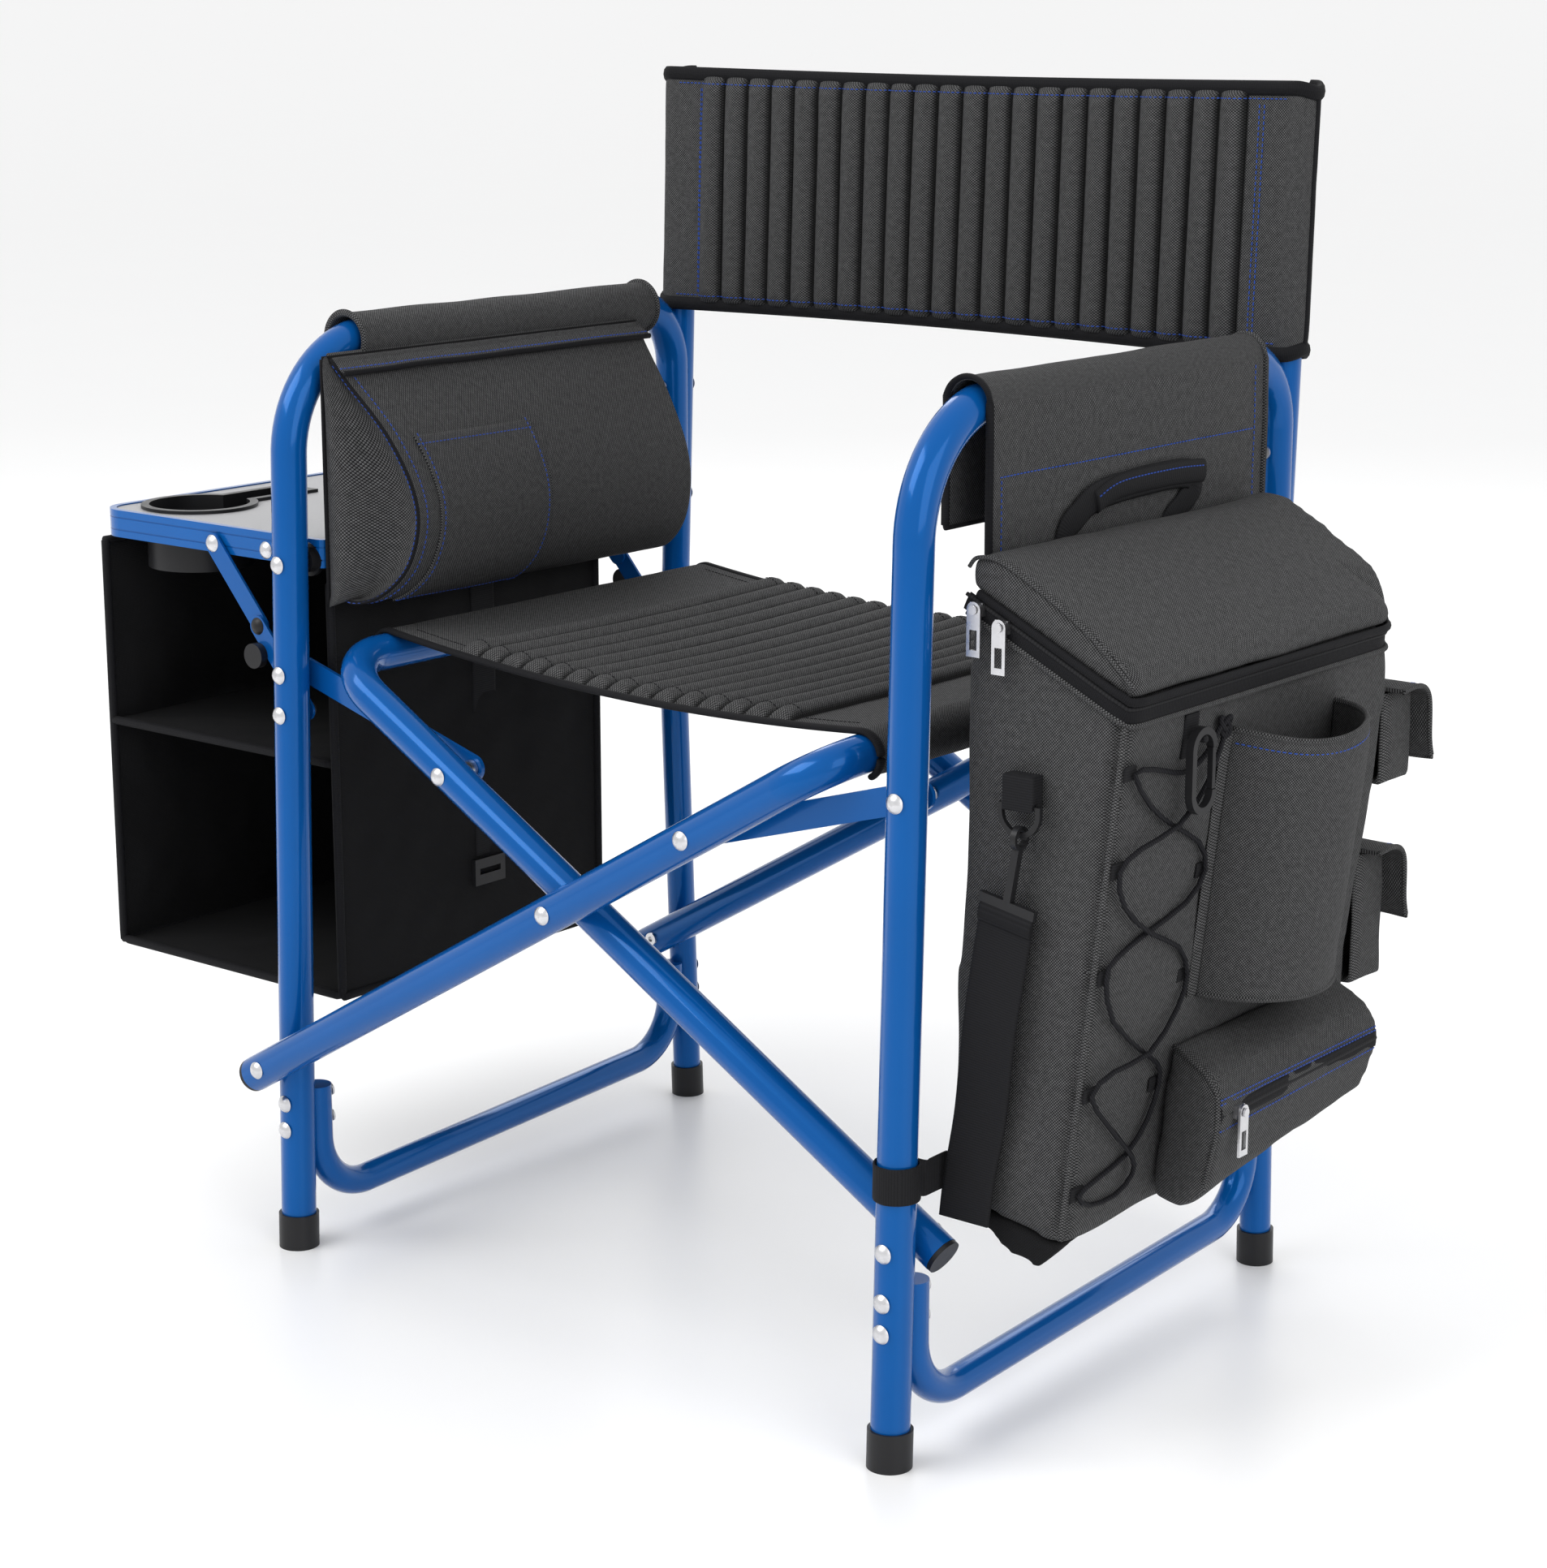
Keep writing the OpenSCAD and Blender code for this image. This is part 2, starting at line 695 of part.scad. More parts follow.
// Back panel with a sleeve over each post, open below and closed over the post's top.
module back_panel() {
  lean = (post_top_y - kink_y) / (post_top - kink_z);
  skew = atan2(right_y - left_y, 2 * leg_x);
  color(DARK) place() difference() {
    union() {
      for (s = [[-leg_x, left_y], [leg_x, right_y]])
        bar([s[0], s[1] + rear_y(back_lo), back_lo], [s[0], s[1] + rear_y(back_hi), back_hi + 3], post_r + 2.8);
      translate([0, rear_y(back_lo), back_lo]) rotate([-atan(lean), 0, 0]) rotate([0, 0, skew])
        translate([-leg_x - 2, -back_t / 2, 0.5]) cube([2 * leg_x + 4, back_t, back_hi - back_lo + 2]);
    }
    for (s = [[-leg_x, left_y], [leg_x, right_y]])
      bar([s[0], s[1] + rear_y(back_lo - 30), back_lo - 30], [s[0], s[1] + post_top_y, post_top + 0.3], post_r + 0.4);
  }
}

// ---- Bag ----

// Cover over the right arm that the bag hangs from.
module bag_flap() {
  color(DARK) place() {
    y0 = flap_front;
    y1 = flap_rear;
    difference() {
      union() {
        along_y(leg_x, y0, arm_z, tube_r + 2.5, y1 - y0);
        block([leg_x + tube_r + 0.5, y0, 549], [leg_x + tube_r + 2.5, y1, arm_z]);
        block([leg_x - tube_r - 2.5, y0, 577], [leg_x - tube_r - 0.5, y1, arm_z]);
      }
      along_y(leg_x, y0 - 1, arm_z, tube_r + 0.3, y1 - y0 + 2);
      block([leg_x - tube_r - 0.5, y0 - 1, 500], [leg_x + tube_r + 0.5, y1 + 1, arm_z]);
    }
  }
}

module bag_body() {
  pts = [bag_back_low, [306, 160], [330, 141], [356, 134], bag_face_low, bag_face_top, bag_back_top];
  w = bag_wall;
  hollow = [
    bag_back_low + [w, w], bag_face_low + [-w, w],
    bag_face_top + [-w + 1, 10], bag_back_top + [w, 10]
  ];
  color(DARK) place() difference() {
    along_profile(pts, bag_front, bag_rear);
    along_profile(hollow, bag_front + w, bag_rear - w);
  }
}

module bag_lid() {
  pts = [
    [lid_hinge[0], 546.8], [lid_hinge[0], 562], [306, 567], [322, 566], [350, 552],
    [385, 530], [408, 512], [416, 503], [416, 490.6], [412, 492.3]
  ];
  color(DARK) place() along_profile(pts, bag_front - 1, bag_rear + 1);
}

// Zip band round the mouth, in front and on both sides.
module bag_zip_band() {
  t = 1.5;
  slope = (bag_face_top[1] - bag_back_top[1]) / (bag_face_top[0] - bag_back_top[0]);
  function edge_z(x) = bag_back_top[1] + slope * (x - bag_back_top[0]);
  side = [[299, edge_z(299) - 1], [415, edge_z(415) - 1], [415, edge_z(415) - 9], [299, edge_z(299) - 9]];
  color(BLACK) place() difference() {
    along_profile(side, bag_front - t, bag_rear + t);
    along_profile([[290, 400], [412.6, 400], [412.6, 600], [290, 600]], bag_front - 0.1, bag_rear + 0.1);
  }
}

// Webbing handle sewn to the bag's back, with a wrapped grip.
module bag_handle() {
  pts = [
    [-97, 505], [-77, 505], [-77, 568], [-48, 583], [42, 583], [17, 566], [17, 505],
    [39, 505], [39, 562], [76, 580], [73, 593], [-54, 593], [-97, 572]
  ];
  color(BLACK) place() {
    translate([294.4, 0, 0]) rotate([90, 0, 90]) linear_extrude(height = 2) polygon(pts);
    block([294, -40, 581.5], [300, 40, 595]);
  }
}

// Zip slider with a headed peg, built along +Z at the origin.
module slider_shape() {
  translate([-4.5, -4, 0]) cube([9, 8, 2.9]);
  cylinder(r = 1.5, h = 6.6);
  translate([0, 0, 6.2]) cylinder(r = 2.8, h = 1);
}

// Pull tab that hangs from the peg towards -Y.
module tab_shape() {
  translate([0, 0, 4]) difference() {
    union() {
      cylinder(r = 4.8, h = 1.6);
      translate([-4.8, -28, 0]) cube([9.6, 28, 1.6]);
    }
    translate([0, 0, -1]) cylinder(r = 1.58, h = 4);
    translate([-2.6, -24, -1]) cube([5.2, 12, 4]);
  }
}

module on_side(x, z) {
  translate([x, bag_front - 1.7, z]) rotate([90, 0, 0]) children();
}

module on_pouch() {
  translate([431.5, -88, 226]) rotate([90, 0, 90]) children();
}

module zip_slider_upper() color(STEEL) place() on_side(308, 536) slider_shape();
module zip_tab_upper() color(STEEL) place() on_side(308, 536) tab_shape();
module zip_slider_lower() color(STEEL) place() on_side(326, 527.5) slider_shape();
module zip_tab_lower() color(STEEL) place() on_side(326, 527.5) tab_shape();
module pouch_slider() color(STEEL) place() on_pouch() slider_shape();
module pouch_tab() color(STEEL) place() on_pouch() tab_shape();

module bottle_pocket() {
  color(DARK) place() difference() {
    translate([bottle[0], bottle[1], bottle_lo]) rotate([0, face_lean, 0]) {
      difference() {
        cylinder(r = bottle_r, h = bottle_hi - bottle_lo);
        translate([0, 0, 3]) cylinder(r = bottle_r - 3, h = 200);
      }
    }
    along_profile([[250, 200], [face_x(200) + 0.2, 200], [face_x(500) + 0.2, 500], [250, 500]], -100, 120);
  }
}

module lower_pouch() {
  pts = [
    [face_x(160) + 0.3, 160], [402, 158], [421, 174], [431, 215], [431, 240], [419, 252],
    [face_x(264) + 0.3, 264]
  ];
  color(DARK) place() along_profile(pts, -98, 100);
}

// Two pockets on the rear side panel, open above.
module side_pockets() {
  y0 = bag_rear + 0.3;
  y1 = y0 + 34;
  color(DARK) place() for (z = [[384, upper_flap_z - 4], [246, lower_flap_z - 4]]) difference() {
    block([316, y0, z[0]], [face_x(z[0]) + 4, y1, z[1]]);
    block([319, y0 - 1, z[0] + 3], [face_x(z[0]) + 1, y1 - 3, z[1] + 1]);
  }
}

module side_flap(z) {
  y0 = bag_rear + 0.3;
  color(DARK) place() {
    block([314, y0, z - 3], [face_x(z) + 7, y0 + 38, z]);
    block([314, y0 + 35, z - 25], [face_x(z) + 7, y0 + 38, z - 3]);
  }
}

module side_flap_upper() side_flap(upper_flap_z);
module side_flap_lower() side_flap(lower_flap_z);

// Webbing loop that ties the bag to the front leg.
module leg_loop() {
  z = 185;
  y = right_y + front_y(z);
  color(BLACK) place() difference() {
    union() {
      translate([leg_x, y, z - 12]) cylinder(r = tube_r + 2.4, h = 24);
      block([leg_x, y + tube_r + 0.6, z - 12], [leg_x + 12, y + tube_r + 2.2, z + 12]);
      block([leg_x + 10.4, y + tube_r + 0.6, z - 12], [leg_x + 12, bag_front + 14, z + 12]);
    }
    translate([leg_x, y, z - 20]) cylinder(r = tube_r + 0.7, h = 40);
    along_profile([[back_x(150) - 0.2, 150], [400, 150], [400, 220], [back_x(220) - 0.2, 220]], bag_front - 0.2, 0);
  }
}

// Point of the bag's front face at y and z, lifted by d.
function on_face(y, z, d) = [face_x(z) + d, y, z];

// Smooth curve through the points of a route, two steps per point.
function between(a, b, c, d) = (9 * (b + c) - a - d) / 16;
function smooth(p) = [for (i = [0 : len(p) - 2]) each [
  p[i], between(p[max(i - 1, 0)], p[i], p[i + 1], p[min(i + 2, len(p) - 1)])
], p[len(p) - 1]];
lace = smooth([for (p = lace_route) on_face(p[0], p[1], p[2])]);

function unit(v) = v / norm(v);
function tangent(pts, i) = unit(pts[min(i + 1, len(pts) - 1)] - pts[max(i - 1, 0)]);

// Round cord swept along a route that lies against the bag's face.
module sweep(pts, r, sides) {
  n = len(pts);
  rings = [for (i = [0 : n - 1])
    let (t = tangent(pts, i), u = unit(cross(t, [1, 0, 0])), v = cross(t, u))
    for (k = [0 : sides - 1]) pts[i] + r * (cos(360 * k / sides) * u + sin(360 * k / sides) * v)];
  walls = [for (i = [0 : n - 2], k = [0 : sides - 1])
    [i * sides + k, i * sides + (k + 1) % sides, (i + 1) * sides + (k + 1) % sides, (i + 1) * sides + k]];
  first = [for (k = [0 : sides - 1]) sides - 1 - k];
  last = [for (k = [0 : sides - 1]) (n - 1) * sides + k];
  polyhedron(rings, concat([first], walls, [last]));
}

module bungee_cord() color(BLACK) place() sweep(lace, cord_r, 8);

// Flat tab of webbing on the bag's face.
module face_tab(y, z, width, height) {
  pts = [for (c = [[0.4, 0], [2.2, 0], [2.2, 1], [0.4, 1]])
    [face_x(z + (c[1] - 0.5) * height) + c[0], z + (c[1] - 0.5) * height]];
  along_profile(pts, y - width / 2, y + width / 2);
}

// Small webbing tabs sewn to the bag: under the cord's bends, the clip's and the ring's.
module webbing_tabs() {
  color(BLACK) place() {
    for (z = lace_left_z) face_tab(lace_left, z, 13, 10);
    for (i = [0 : 2]) face_tab(lace_right[i], lace_right_z[i], 12, 10);
    face_tab(clip_y, 462, 16, 28);
    translate([face_x(clip_z) + 1.2, clip_y, clip_z + clip_r - 7.3]) rotate([0, 90, 0])
      cylinder(r = 2.5, h = clip_x + 6 - face_x(clip_z) - 1.2);
    difference() {
      block([ring_x - 11, bag_front - 11.4, ring_z + 1.2], [ring_x + 11, bag_front - 0.3, ring_z + 23]);
      block([ring_x - 12, bag_front - 10.6, ring_z + 0], [ring_x + 12, bag_front - 5.6, ring_z + 6]);
    }
  }
}

// Body of the spring clip, open on the side that the gate closes.
module carabiner() {
  color(BLACK) place() translate([clip_x, clip_y, clip_z]) rotate([0, 90, 0]) difference() {
    union() {
      translate([0, -clip_r, 0]) cube([clip_len, 4.5, 5]);
      cylinder(r = clip_r, h = 5);
      translate([clip_len, 0, 0]) cylinder(r = clip_r, h = 5);
    }
    for (s = [0, clip_len]) translate([s, 0, -1]) cylinder(r = clip_r - 4.5, h = 7);
    translate([0, 4.5 - clip_r, -1]) cube([clip_len, 2 * clip_r, 7]);
  }
}

module carabiner_gate() {
  y = clip_y + clip_r;
  color(BLACK) place()
    block([clip_x + 0.7, y - 3.9, clip_z - clip_len + 0.4], [clip_x + 4.3, y - 0.5, clip_z - 0.4]);
}

// ---- Shoulder strap ----

// D-shaped ring in the XY plane, its straight side at y = 3.5.
module d_ring_shape() {
  difference() {
    union() {
      cylinder(r = 15, h = 3.2);
      translate([-15, 0, 0]) cube([30, 5, 3.2]);
    }
    translate([0, 0, -1]) cylinder(r = 11.8, h = 6);
    translate([-11.8, -1, -1]) cube([23.6, 3, 6]);
    translate([-20, 5, -1]) cube([40, 20, 6]);
  }
}

module d_ring() {
  color(BLACK) place() translate([ring_x, bag_front - 6.5, ring_z]) rotate([90, 0, 0]) d_ring_shape();
}

// Point of the hook's own XZ plane, turned about its eye.
function leaned(x, z) = [
  ring_x + x * cos(hook_lean) + z * sin(hook_lean),
  ring_z - 15.4 - x * sin(hook_lean) + z * cos(hook_lean)
];

// Hook with its eye round the ring's arc and a bar that carries the strap.
module snap_hook() {
  color(BLACK) place() translate([ring_x, bag_front - 8.1, ring_z - 15.4]) {
    difference() {
      translate([-2, 0, 0]) rotate([0, 90, 0]) cylinder(r = 7.4, h = 4);
      translate([-3, 0, 0]) rotate([0, 90, 0]) cylinder(r = 5, h = 6);
    }
    rotate([0, hook_lean, 0]) {
      block([-2.5, -2.5, -40], [2.5, 2.5, -6.6]);
      block([-20, -2, -46], [20, 2, -40]);
    }
  }
}

module shoulder_strap() {
  pts = [leaned(-19, -46.4), leaned(19, -46.4), [326, 158], [290, 158]];
  color(BLACK) place() along_profile(pts, bag_front - 9.1, bag_front - 7.1);
}

// ---- Which node is drawn ----

left_frame_tube();
left_back_post();
left_stretcher();
right_frame_tube();
right_back_post();
right_stretcher();
foot_caps_left();
foot_caps_right();
frame_rivets_left();
frame_rivets_right();
cross_tube_one();
cross_plugs_one();
cross_rivets_one();
cross_tube_two();
cross_plugs_two();
cross_rivets_two();
link_left_front();
link_left_rear();
link_right_front();
link_right_rear();
table_hinge_bar();
table_top();
table_rim();
table_hinge_plates();
table_rivets();
cup_holder();
brace_lower();
brace_lock();
brace_upper();
organizer();
organizer_strap();
organizer_buckle();
arm_sleeve();
arm_pouch();
seat_panel();
back_panel();
bag_flap();
bag_body();
bag_lid();
bag_zip_band();
bag_handle();
zip_slider_upper();
zip_tab_upper();
zip_slider_lower();
zip_tab_lower();
bottle_pocket();
lower_pouch();
pouch_slider();
pouch_tab();
side_pockets();
side_flap_upper();
side_flap_lower();
leg_loop();
bungee_cord();
webbing_tabs();
carabiner();
carabiner_gate();
d_ring();
snap_hook();
shoulder_strap();
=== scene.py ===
"""Looks of the folding camp chair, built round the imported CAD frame. Metres, +Z up."""

import json
import math

import bmesh
import bpy
import numpy as np
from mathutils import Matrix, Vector, noise


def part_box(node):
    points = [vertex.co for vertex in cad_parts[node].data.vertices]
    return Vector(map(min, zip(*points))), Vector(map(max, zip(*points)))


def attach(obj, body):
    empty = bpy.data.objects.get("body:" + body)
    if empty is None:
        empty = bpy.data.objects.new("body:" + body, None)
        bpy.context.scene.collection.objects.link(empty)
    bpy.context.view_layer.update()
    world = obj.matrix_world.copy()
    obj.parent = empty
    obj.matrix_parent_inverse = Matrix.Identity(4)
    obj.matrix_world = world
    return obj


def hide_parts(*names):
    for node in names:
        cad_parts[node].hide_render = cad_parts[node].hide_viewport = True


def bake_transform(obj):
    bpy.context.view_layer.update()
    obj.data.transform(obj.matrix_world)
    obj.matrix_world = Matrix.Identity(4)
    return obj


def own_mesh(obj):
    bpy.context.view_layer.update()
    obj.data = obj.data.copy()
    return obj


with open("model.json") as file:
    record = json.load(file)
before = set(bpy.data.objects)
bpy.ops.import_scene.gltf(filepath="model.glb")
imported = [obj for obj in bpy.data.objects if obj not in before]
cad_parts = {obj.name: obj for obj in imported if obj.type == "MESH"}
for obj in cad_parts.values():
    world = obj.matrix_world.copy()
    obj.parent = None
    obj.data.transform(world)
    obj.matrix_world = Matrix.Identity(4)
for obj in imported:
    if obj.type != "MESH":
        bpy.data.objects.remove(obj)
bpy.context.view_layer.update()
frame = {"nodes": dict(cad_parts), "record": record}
MM = 0.001
scene = bpy.context.scene

# ---------------------------------------------------------------- places from the frame


def middle(node):
    lo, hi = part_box(node)
    return (lo + hi) / 2


LEG_L = middle("left_frame_tube").x
LEG_R = middle("right_frame_tube").x
TUBE_R = (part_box("left_frame_tube")[1].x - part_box("left_frame_tube")[0].x) / 2
ARM_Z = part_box("left_frame_tube")[1].z - TUBE_R
POST_R = (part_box("left_back_post")[1].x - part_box("left_back_post")[0].x) / 2
SEAT_LO, SEAT_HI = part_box("seat_panel")
BACK_LO, BACK_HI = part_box("back_panel")
POUCH_LO, POUCH_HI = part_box("arm_pouch")
SLEEVE_LO, SLEEVE_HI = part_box("arm_sleeve")
ORG_LO, ORG_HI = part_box("organizer")
BAG_LO, BAG_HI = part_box("bag_body")
LID_LO, LID_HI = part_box("bag_lid")
FLAP_LO, FLAP_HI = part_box("bag_flap")
BOTTLE_LO, BOTTLE_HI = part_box("bottle_pocket")
LOW_LO, LOW_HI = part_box("lower_pouch")

# ---------------------------------------------------------------- camera, light, floor

LENS_MM = 77.33
CAMERA_PLACE = (1.4340, -1.7554, 0.8938)
CAMERA_DOWN = math.radians(13.632)
CAMERA_TURN = math.radians(38.871)

cam_data = bpy.data.cameras.new("camera")
cam = bpy.data.objects.new("camera", cam_data)
scene.collection.objects.link(cam)
scene.camera = cam
cam_data.sensor_fit = "HORIZONTAL"
cam_data.sensor_width = 36
cam_data.lens = LENS_MM
cam.location = CAMERA_PLACE
cam.rotation_euler = (math.pi / 2 - CAMERA_DOWN, 0, CAMERA_TURN)
cam_data.clip_start = 0.05
cam_data.clip_end = 900

scene.view_settings.view_transform = "Standard"


def area_light(name, place, target, size, power):
    data = bpy.data.lights.new(name, "AREA")
    data.shape = "RECTANGLE"
    data.size, data.size_y = size
    data.energy = power
    light = bpy.data.objects.new(name, data)
    scene.collection.objects.link(light)
    light.location = place
    light.rotation_euler = (Vector(target) - Vector(place)).to_track_quat("-Z", "Y").to_euler()


area_light("key_light", (-1.2, -2.4, 3.0), (0, 0, 0.4), (2.6, 1.8), 66)
area_light("fill_light", (3.0, -1.0, 1.7), (0.2, 0, 0.4), (2.2, 2.4), 30)
area_light("back_light", (-1.6, 2.4, 2.4), (0, 0, 0.5), (2.6, 1.4), 26)

world = bpy.data.worlds.new("studio")
scene.world = world
world.use_nodes = True
world.node_tree.nodes["Background"].inputs["Color"].default_value = (1, 1, 1, 1)
world.node_tree.nodes["Background"].inputs["Strength"].default_value = 0.95

# ---------------------------------------------------------------- materials


class Nodes:
    """Short way to build a material's node tree."""

    def __init__(self, name):
        self.mat = bpy.data.materials.new(name)
        self.mat.use_nodes = True
        self.tree = self.mat.node_tree
        self.out = self.tree.nodes["Material Output"]
        self.bsdf = self.tree.nodes["Principled BSDF"]

    def add(self, kind, **values):
        node = self.tree.nodes.new(kind)
        for key, value in values.items():
            setattr(node, key, value)
        return node

    def link(self, a, b):
        self.tree.links.new(a, b)

    def math(self, op, a, b=None, c=None):
        node = self.add("ShaderNodeMath", operation=op)
        for i, x in enumerate((a, b, c)):
            if x is None:
                continue
            if isinstance(x, (int, float)):
                node.inputs[i].default_value = x
            else:
                self.link(x, node.inputs[i])
        return node.outputs[0]

    def mix(self, fac, a, b):
        node = self.add("ShaderNodeMix", data_type="RGBA")
        for socket, x in ((node.inputs[0], fac), (node.inputs[6], a), (node.inputs[7], b)):
            if isinstance(x, (int, float)):
                socket.default_value = x
            elif isinstance(x, tuple):
                socket.default_value = (*x, 1)
            else:
                self.link(x, socket)
        return node.outputs[2]

    def noise(self, coords, scale, detail=4.0, rough=0.55):
        node = self.add("ShaderNodeTexNoise")
        node.inputs["Scale"].default_value = scale
        node.inputs["Detail"].default_value = detail
        node.inputs["Roughness"].default_value = rough
        if coords is not None:
            self.link(coords, node.inputs["Vector"])
        return node.outputs["Fac"]

    def bump(self, height, strength, distance):
        node = self.add("ShaderNodeBump")
        node.inputs["Strength"].default_value = strength
        node.inputs["Distance"].default_value = distance
        self.link(height, node.inputs["Height"])
        self.link(node.outputs["Normal"], self.bsdf.inputs["Normal"])

    def set(self, **values):
        for key, value in values.items():
            self.bsdf.inputs[key.replace("_", " ")].default_value = value
        return self


def object_coords(m):
    return m.add("ShaderNodeTexCoord").outputs["Object"]


def speckled(name, color, tone, patches, rough, grain, **look):
    """Solid finish with patches of another tone, uneven roughness (noise scale, span, lowest)
    and a fine grain (noise scale, detail, strength, distance)."""
    m = Nodes(name).set(**look)
    co = object_coords(m)
    m.link(m.mix(m.noise(co, patches), color, tuple(c * tone for c in color)), m.bsdf.inputs["Base Color"])
    m.link(m.math("MULTIPLY_ADD", m.noise(co, rough[0]), *rough[1:]), m.bsdf.inputs["Roughness"])
    m.bump(m.noise(co, *grain[:2]), *grain[2:])
    return m.mat


def paint(name, color):
    return speckled(name, color, 0.8, 9.0, (40.0, 0.08, 0.14), (900.0, 2.0, 0.02, 0.0001), Coat_Weight=0.2,
                    Coat_Roughness=0.03, Specular_IOR_Level=0.8, Specular_Tint=(0.05, 0.35, 1.0, 1.0))


def plastic(name, color, rough):
    return speckled(name, color, 1.6, 30.0, (60.0, 0.2, rough - 0.1), (1500.0, 3.0, 0.15, 0.0003),
                    Roughness=rough, Specular_IOR_Level=0.25)


def metal(name, color):
    return speckled(name, color, 0.75, 120.0, (300.0, 0.25, 0.18), (1200.0, 2.0, 0.08, 0.0002), Metallic=1.0,
                    Roughness=0.28)


def laminate(name, color):
    m = Nodes(name).set(Roughness=0.45)
    co = object_coords(m)
    grain = m.noise(co, 700.0, 6.0, 0.7)
    m.link(m.mix(grain, tuple(c * 0.86 for c in color), tuple(min(1, c * 1.08) for c in color)),
           m.bsdf.inputs["Base Color"])
    m.bump(m.noise(co, 1400.0, 5.0, 0.7), 0.3, 0.0004)
    return m.mat


def cell(m, coord, pitch, shift=0.0):
    """Distance from the middle of a repeating cell, 0 to 0.5."""
    scaled = m.math("MULTIPLY_ADD", coord, 1 / pitch, shift)
    return m.math("ABSOLUTE", m.math("SUBTRACT", m.math("FRACT", scaled), 0.5))


def uv_split(m):
    """The UV place, in metres, and its two numbers."""
    uv = m.add("ShaderNodeUVMap").outputs[0]
    split = m.add("ShaderNodeSeparateXYZ")
    m.link(uv, split.inputs[0])
    return uv, split.outputs[0], split.outputs[1]


def woven(name, dark, light, pitch=1.9 * MM, dot=0.27, amount=0.9, sheen=0.01, painted_seam_shade=False):
    """Charcoal cloth with light flecks in staggered rows, on UVs in metres."""
    m = Nodes(name).set(Roughness=0.88, Sheen_Weight=sheen, Sheen_Roughness=0.5, Specular_IOR_Level=0.12)
    uv, u, v = uv_split(m)

    def dots(shift):
        a, b = cell(m, u, pitch, shift), cell(m, v, pitch, shift)
        d = m.math("SQRT", m.math("ADD", m.math("MULTIPLY", a, a), m.math("MULTIPLY", b, b)))
        return m.math("LESS_THAN", d, dot)

    lattice = m.math("MAXIMUM", dots(0.0), dots(0.5))
    patch = m.math("MULTIPLY_ADD", m.noise(uv, 260.0, 2.0), 0.9, 0.25)
    fleck = m.math("MULTIPLY", m.math("MULTIPLY", lattice, patch), amount)
    broad = m.noise(uv, 14.0, 3.0)
    ground = m.mix(broad, dark, tuple(c * 1.5 for c in dark))
    cloth = m.mix(fleck, ground, light)
    # Painted shade: the 'seam' attribute darkens the cloth towards a quarter of its dark tone in the sewn
    # valleys between ribs, where shade falls.
    if painted_seam_shade:
        depth = m.add("ShaderNodeAttribute", attribute_name="seam").outputs["Fac"]
        cloth = m.mix(depth, cloth, tuple(c * 0.25 for c in dark))
    m.link(cloth, m.bsdf.inputs["Base Color"])
    thread = m.math("ADD", cell(m, u, pitch / 2), cell(m, v, pitch / 2))
    height = m.math("ADD", thread, m.math("MULTIPLY", m.noise(uv, 90.0, 4.0), 0.25))
    m.bump(height, 0.45, 0.0006)
    return m.mat


def ribbed(name, dark, pitch=1.6 * MM, across=True):
    """Webbing or binding tape with fine cross ribs."""
    m = Nodes(name).set(Roughness=0.75, Sheen_Weight=0.01, Specular_IOR_Level=0.12)
    _, u, v = uv_split(m)
    rib = cell(m, u if across else v, pitch)
    fine = cell(m, v if across else u, pitch * 0.6)
    m.link(m.mix(rib, dark, tuple(c * 2.4 for c in dark)), m.bsdf.inputs["Base Color"])
    m.bump(m.math("ADD", rib, m.math("MULTIPLY", fine, 0.5)), 0.6, 0.0005)
    return m.mat


def braid(name, dark):
    """Braided elastic, coloured by place because the cord comes from the frame without UVs."""
    m = Nodes(name).set(Roughness=0.7, Specular_IOR_Level=0.12)
    co = object_coords(m)
    wave = m.add("ShaderNodeTexWave", wave_type="BANDS", bands_direction="DIAGONAL")
    wave.inputs["Scale"].default_value = 260.0
    wave.inputs["Distortion"].default_value = 2.0
    m.link(co, wave.inputs["Vector"])
    m.link(m.mix(wave.outputs["Fac"], dark, tuple(c * 3 for c in dark)), m.bsdf.inputs["Base Color"])
    m.bump(wave.outputs["Fac"], 0.5, 0.0004)
    return m.mat


BLUE = (0.002, 0.078, 0.30)
CHARCOAL = (0.0085, 0.0087, 0.0090)
FLECK = (0.150, 0.150, 0.153)
MAT = {
    "blue_tube": paint("blue_tube", BLUE),
    "blue_aluminium": paint("blue_aluminium", (0.002, 0.088, 0.33)),
    "black_plastic": plastic("black_plastic", (0.010, 0.010, 0.011), 0.38),
    "silver_metal": metal("silver_metal", (0.72, 0.72, 0.74)),
    "table_board": laminate("table_board", (0.30, 0.30, 0.31)),
    "padded_fabric": woven("padded_fabric", CHARCOAL, FLECK),
    "quilted_fabric": woven("quilted_fabric", CHARCOAL, FLECK, painted_seam_shade=True),
    "bag_fabric": woven("bag_fabric", CHARCOAL, FLECK),
    "plain_fabric": woven("plain_fabric", (0.0055, 0.0055, 0.006), (0.018, 0.018, 0.019), amount=0.5),
    "webbing": ribbed("webbing", (0.008, 0.008, 0.009)),
    "webbing_up": ribbed("webbing_up", (0.008, 0.008, 0.009), across=False),
    "tape": ribbed("tape", (0.006, 0.006, 0.007), 1.2 * MM),
    "zip_coil": ribbed("zip_coil", (0.012, 0.012, 0.013), 2.2 * MM),
    "bungee": braid("bungee", (0.005, 0.005, 0.006)),
    "blue_thread": plastic("blue_thread", (0.012, 0.045, 0.24), 0.6),
}

for entry in frame["record"]["subparts"]:
    node = frame["nodes"][entry["node"]]
    node.data.materials.clear()
    node.data.materials.append(MAT[entry["material_slot"]])

# ---------------------------------------------------------------- number and mesh helpers


def lerp(a, b, t):
    return a + (b - a) * t


def clamp(t, lo=0.0, hi=1.0):
    return max(lo, min(hi, t))


def steps(count, lo=0.0, hi=1.0):
    """Even steps from lo to hi, both included."""
    return [lerp(lo, hi, i / count) for i in range(count + 1)]


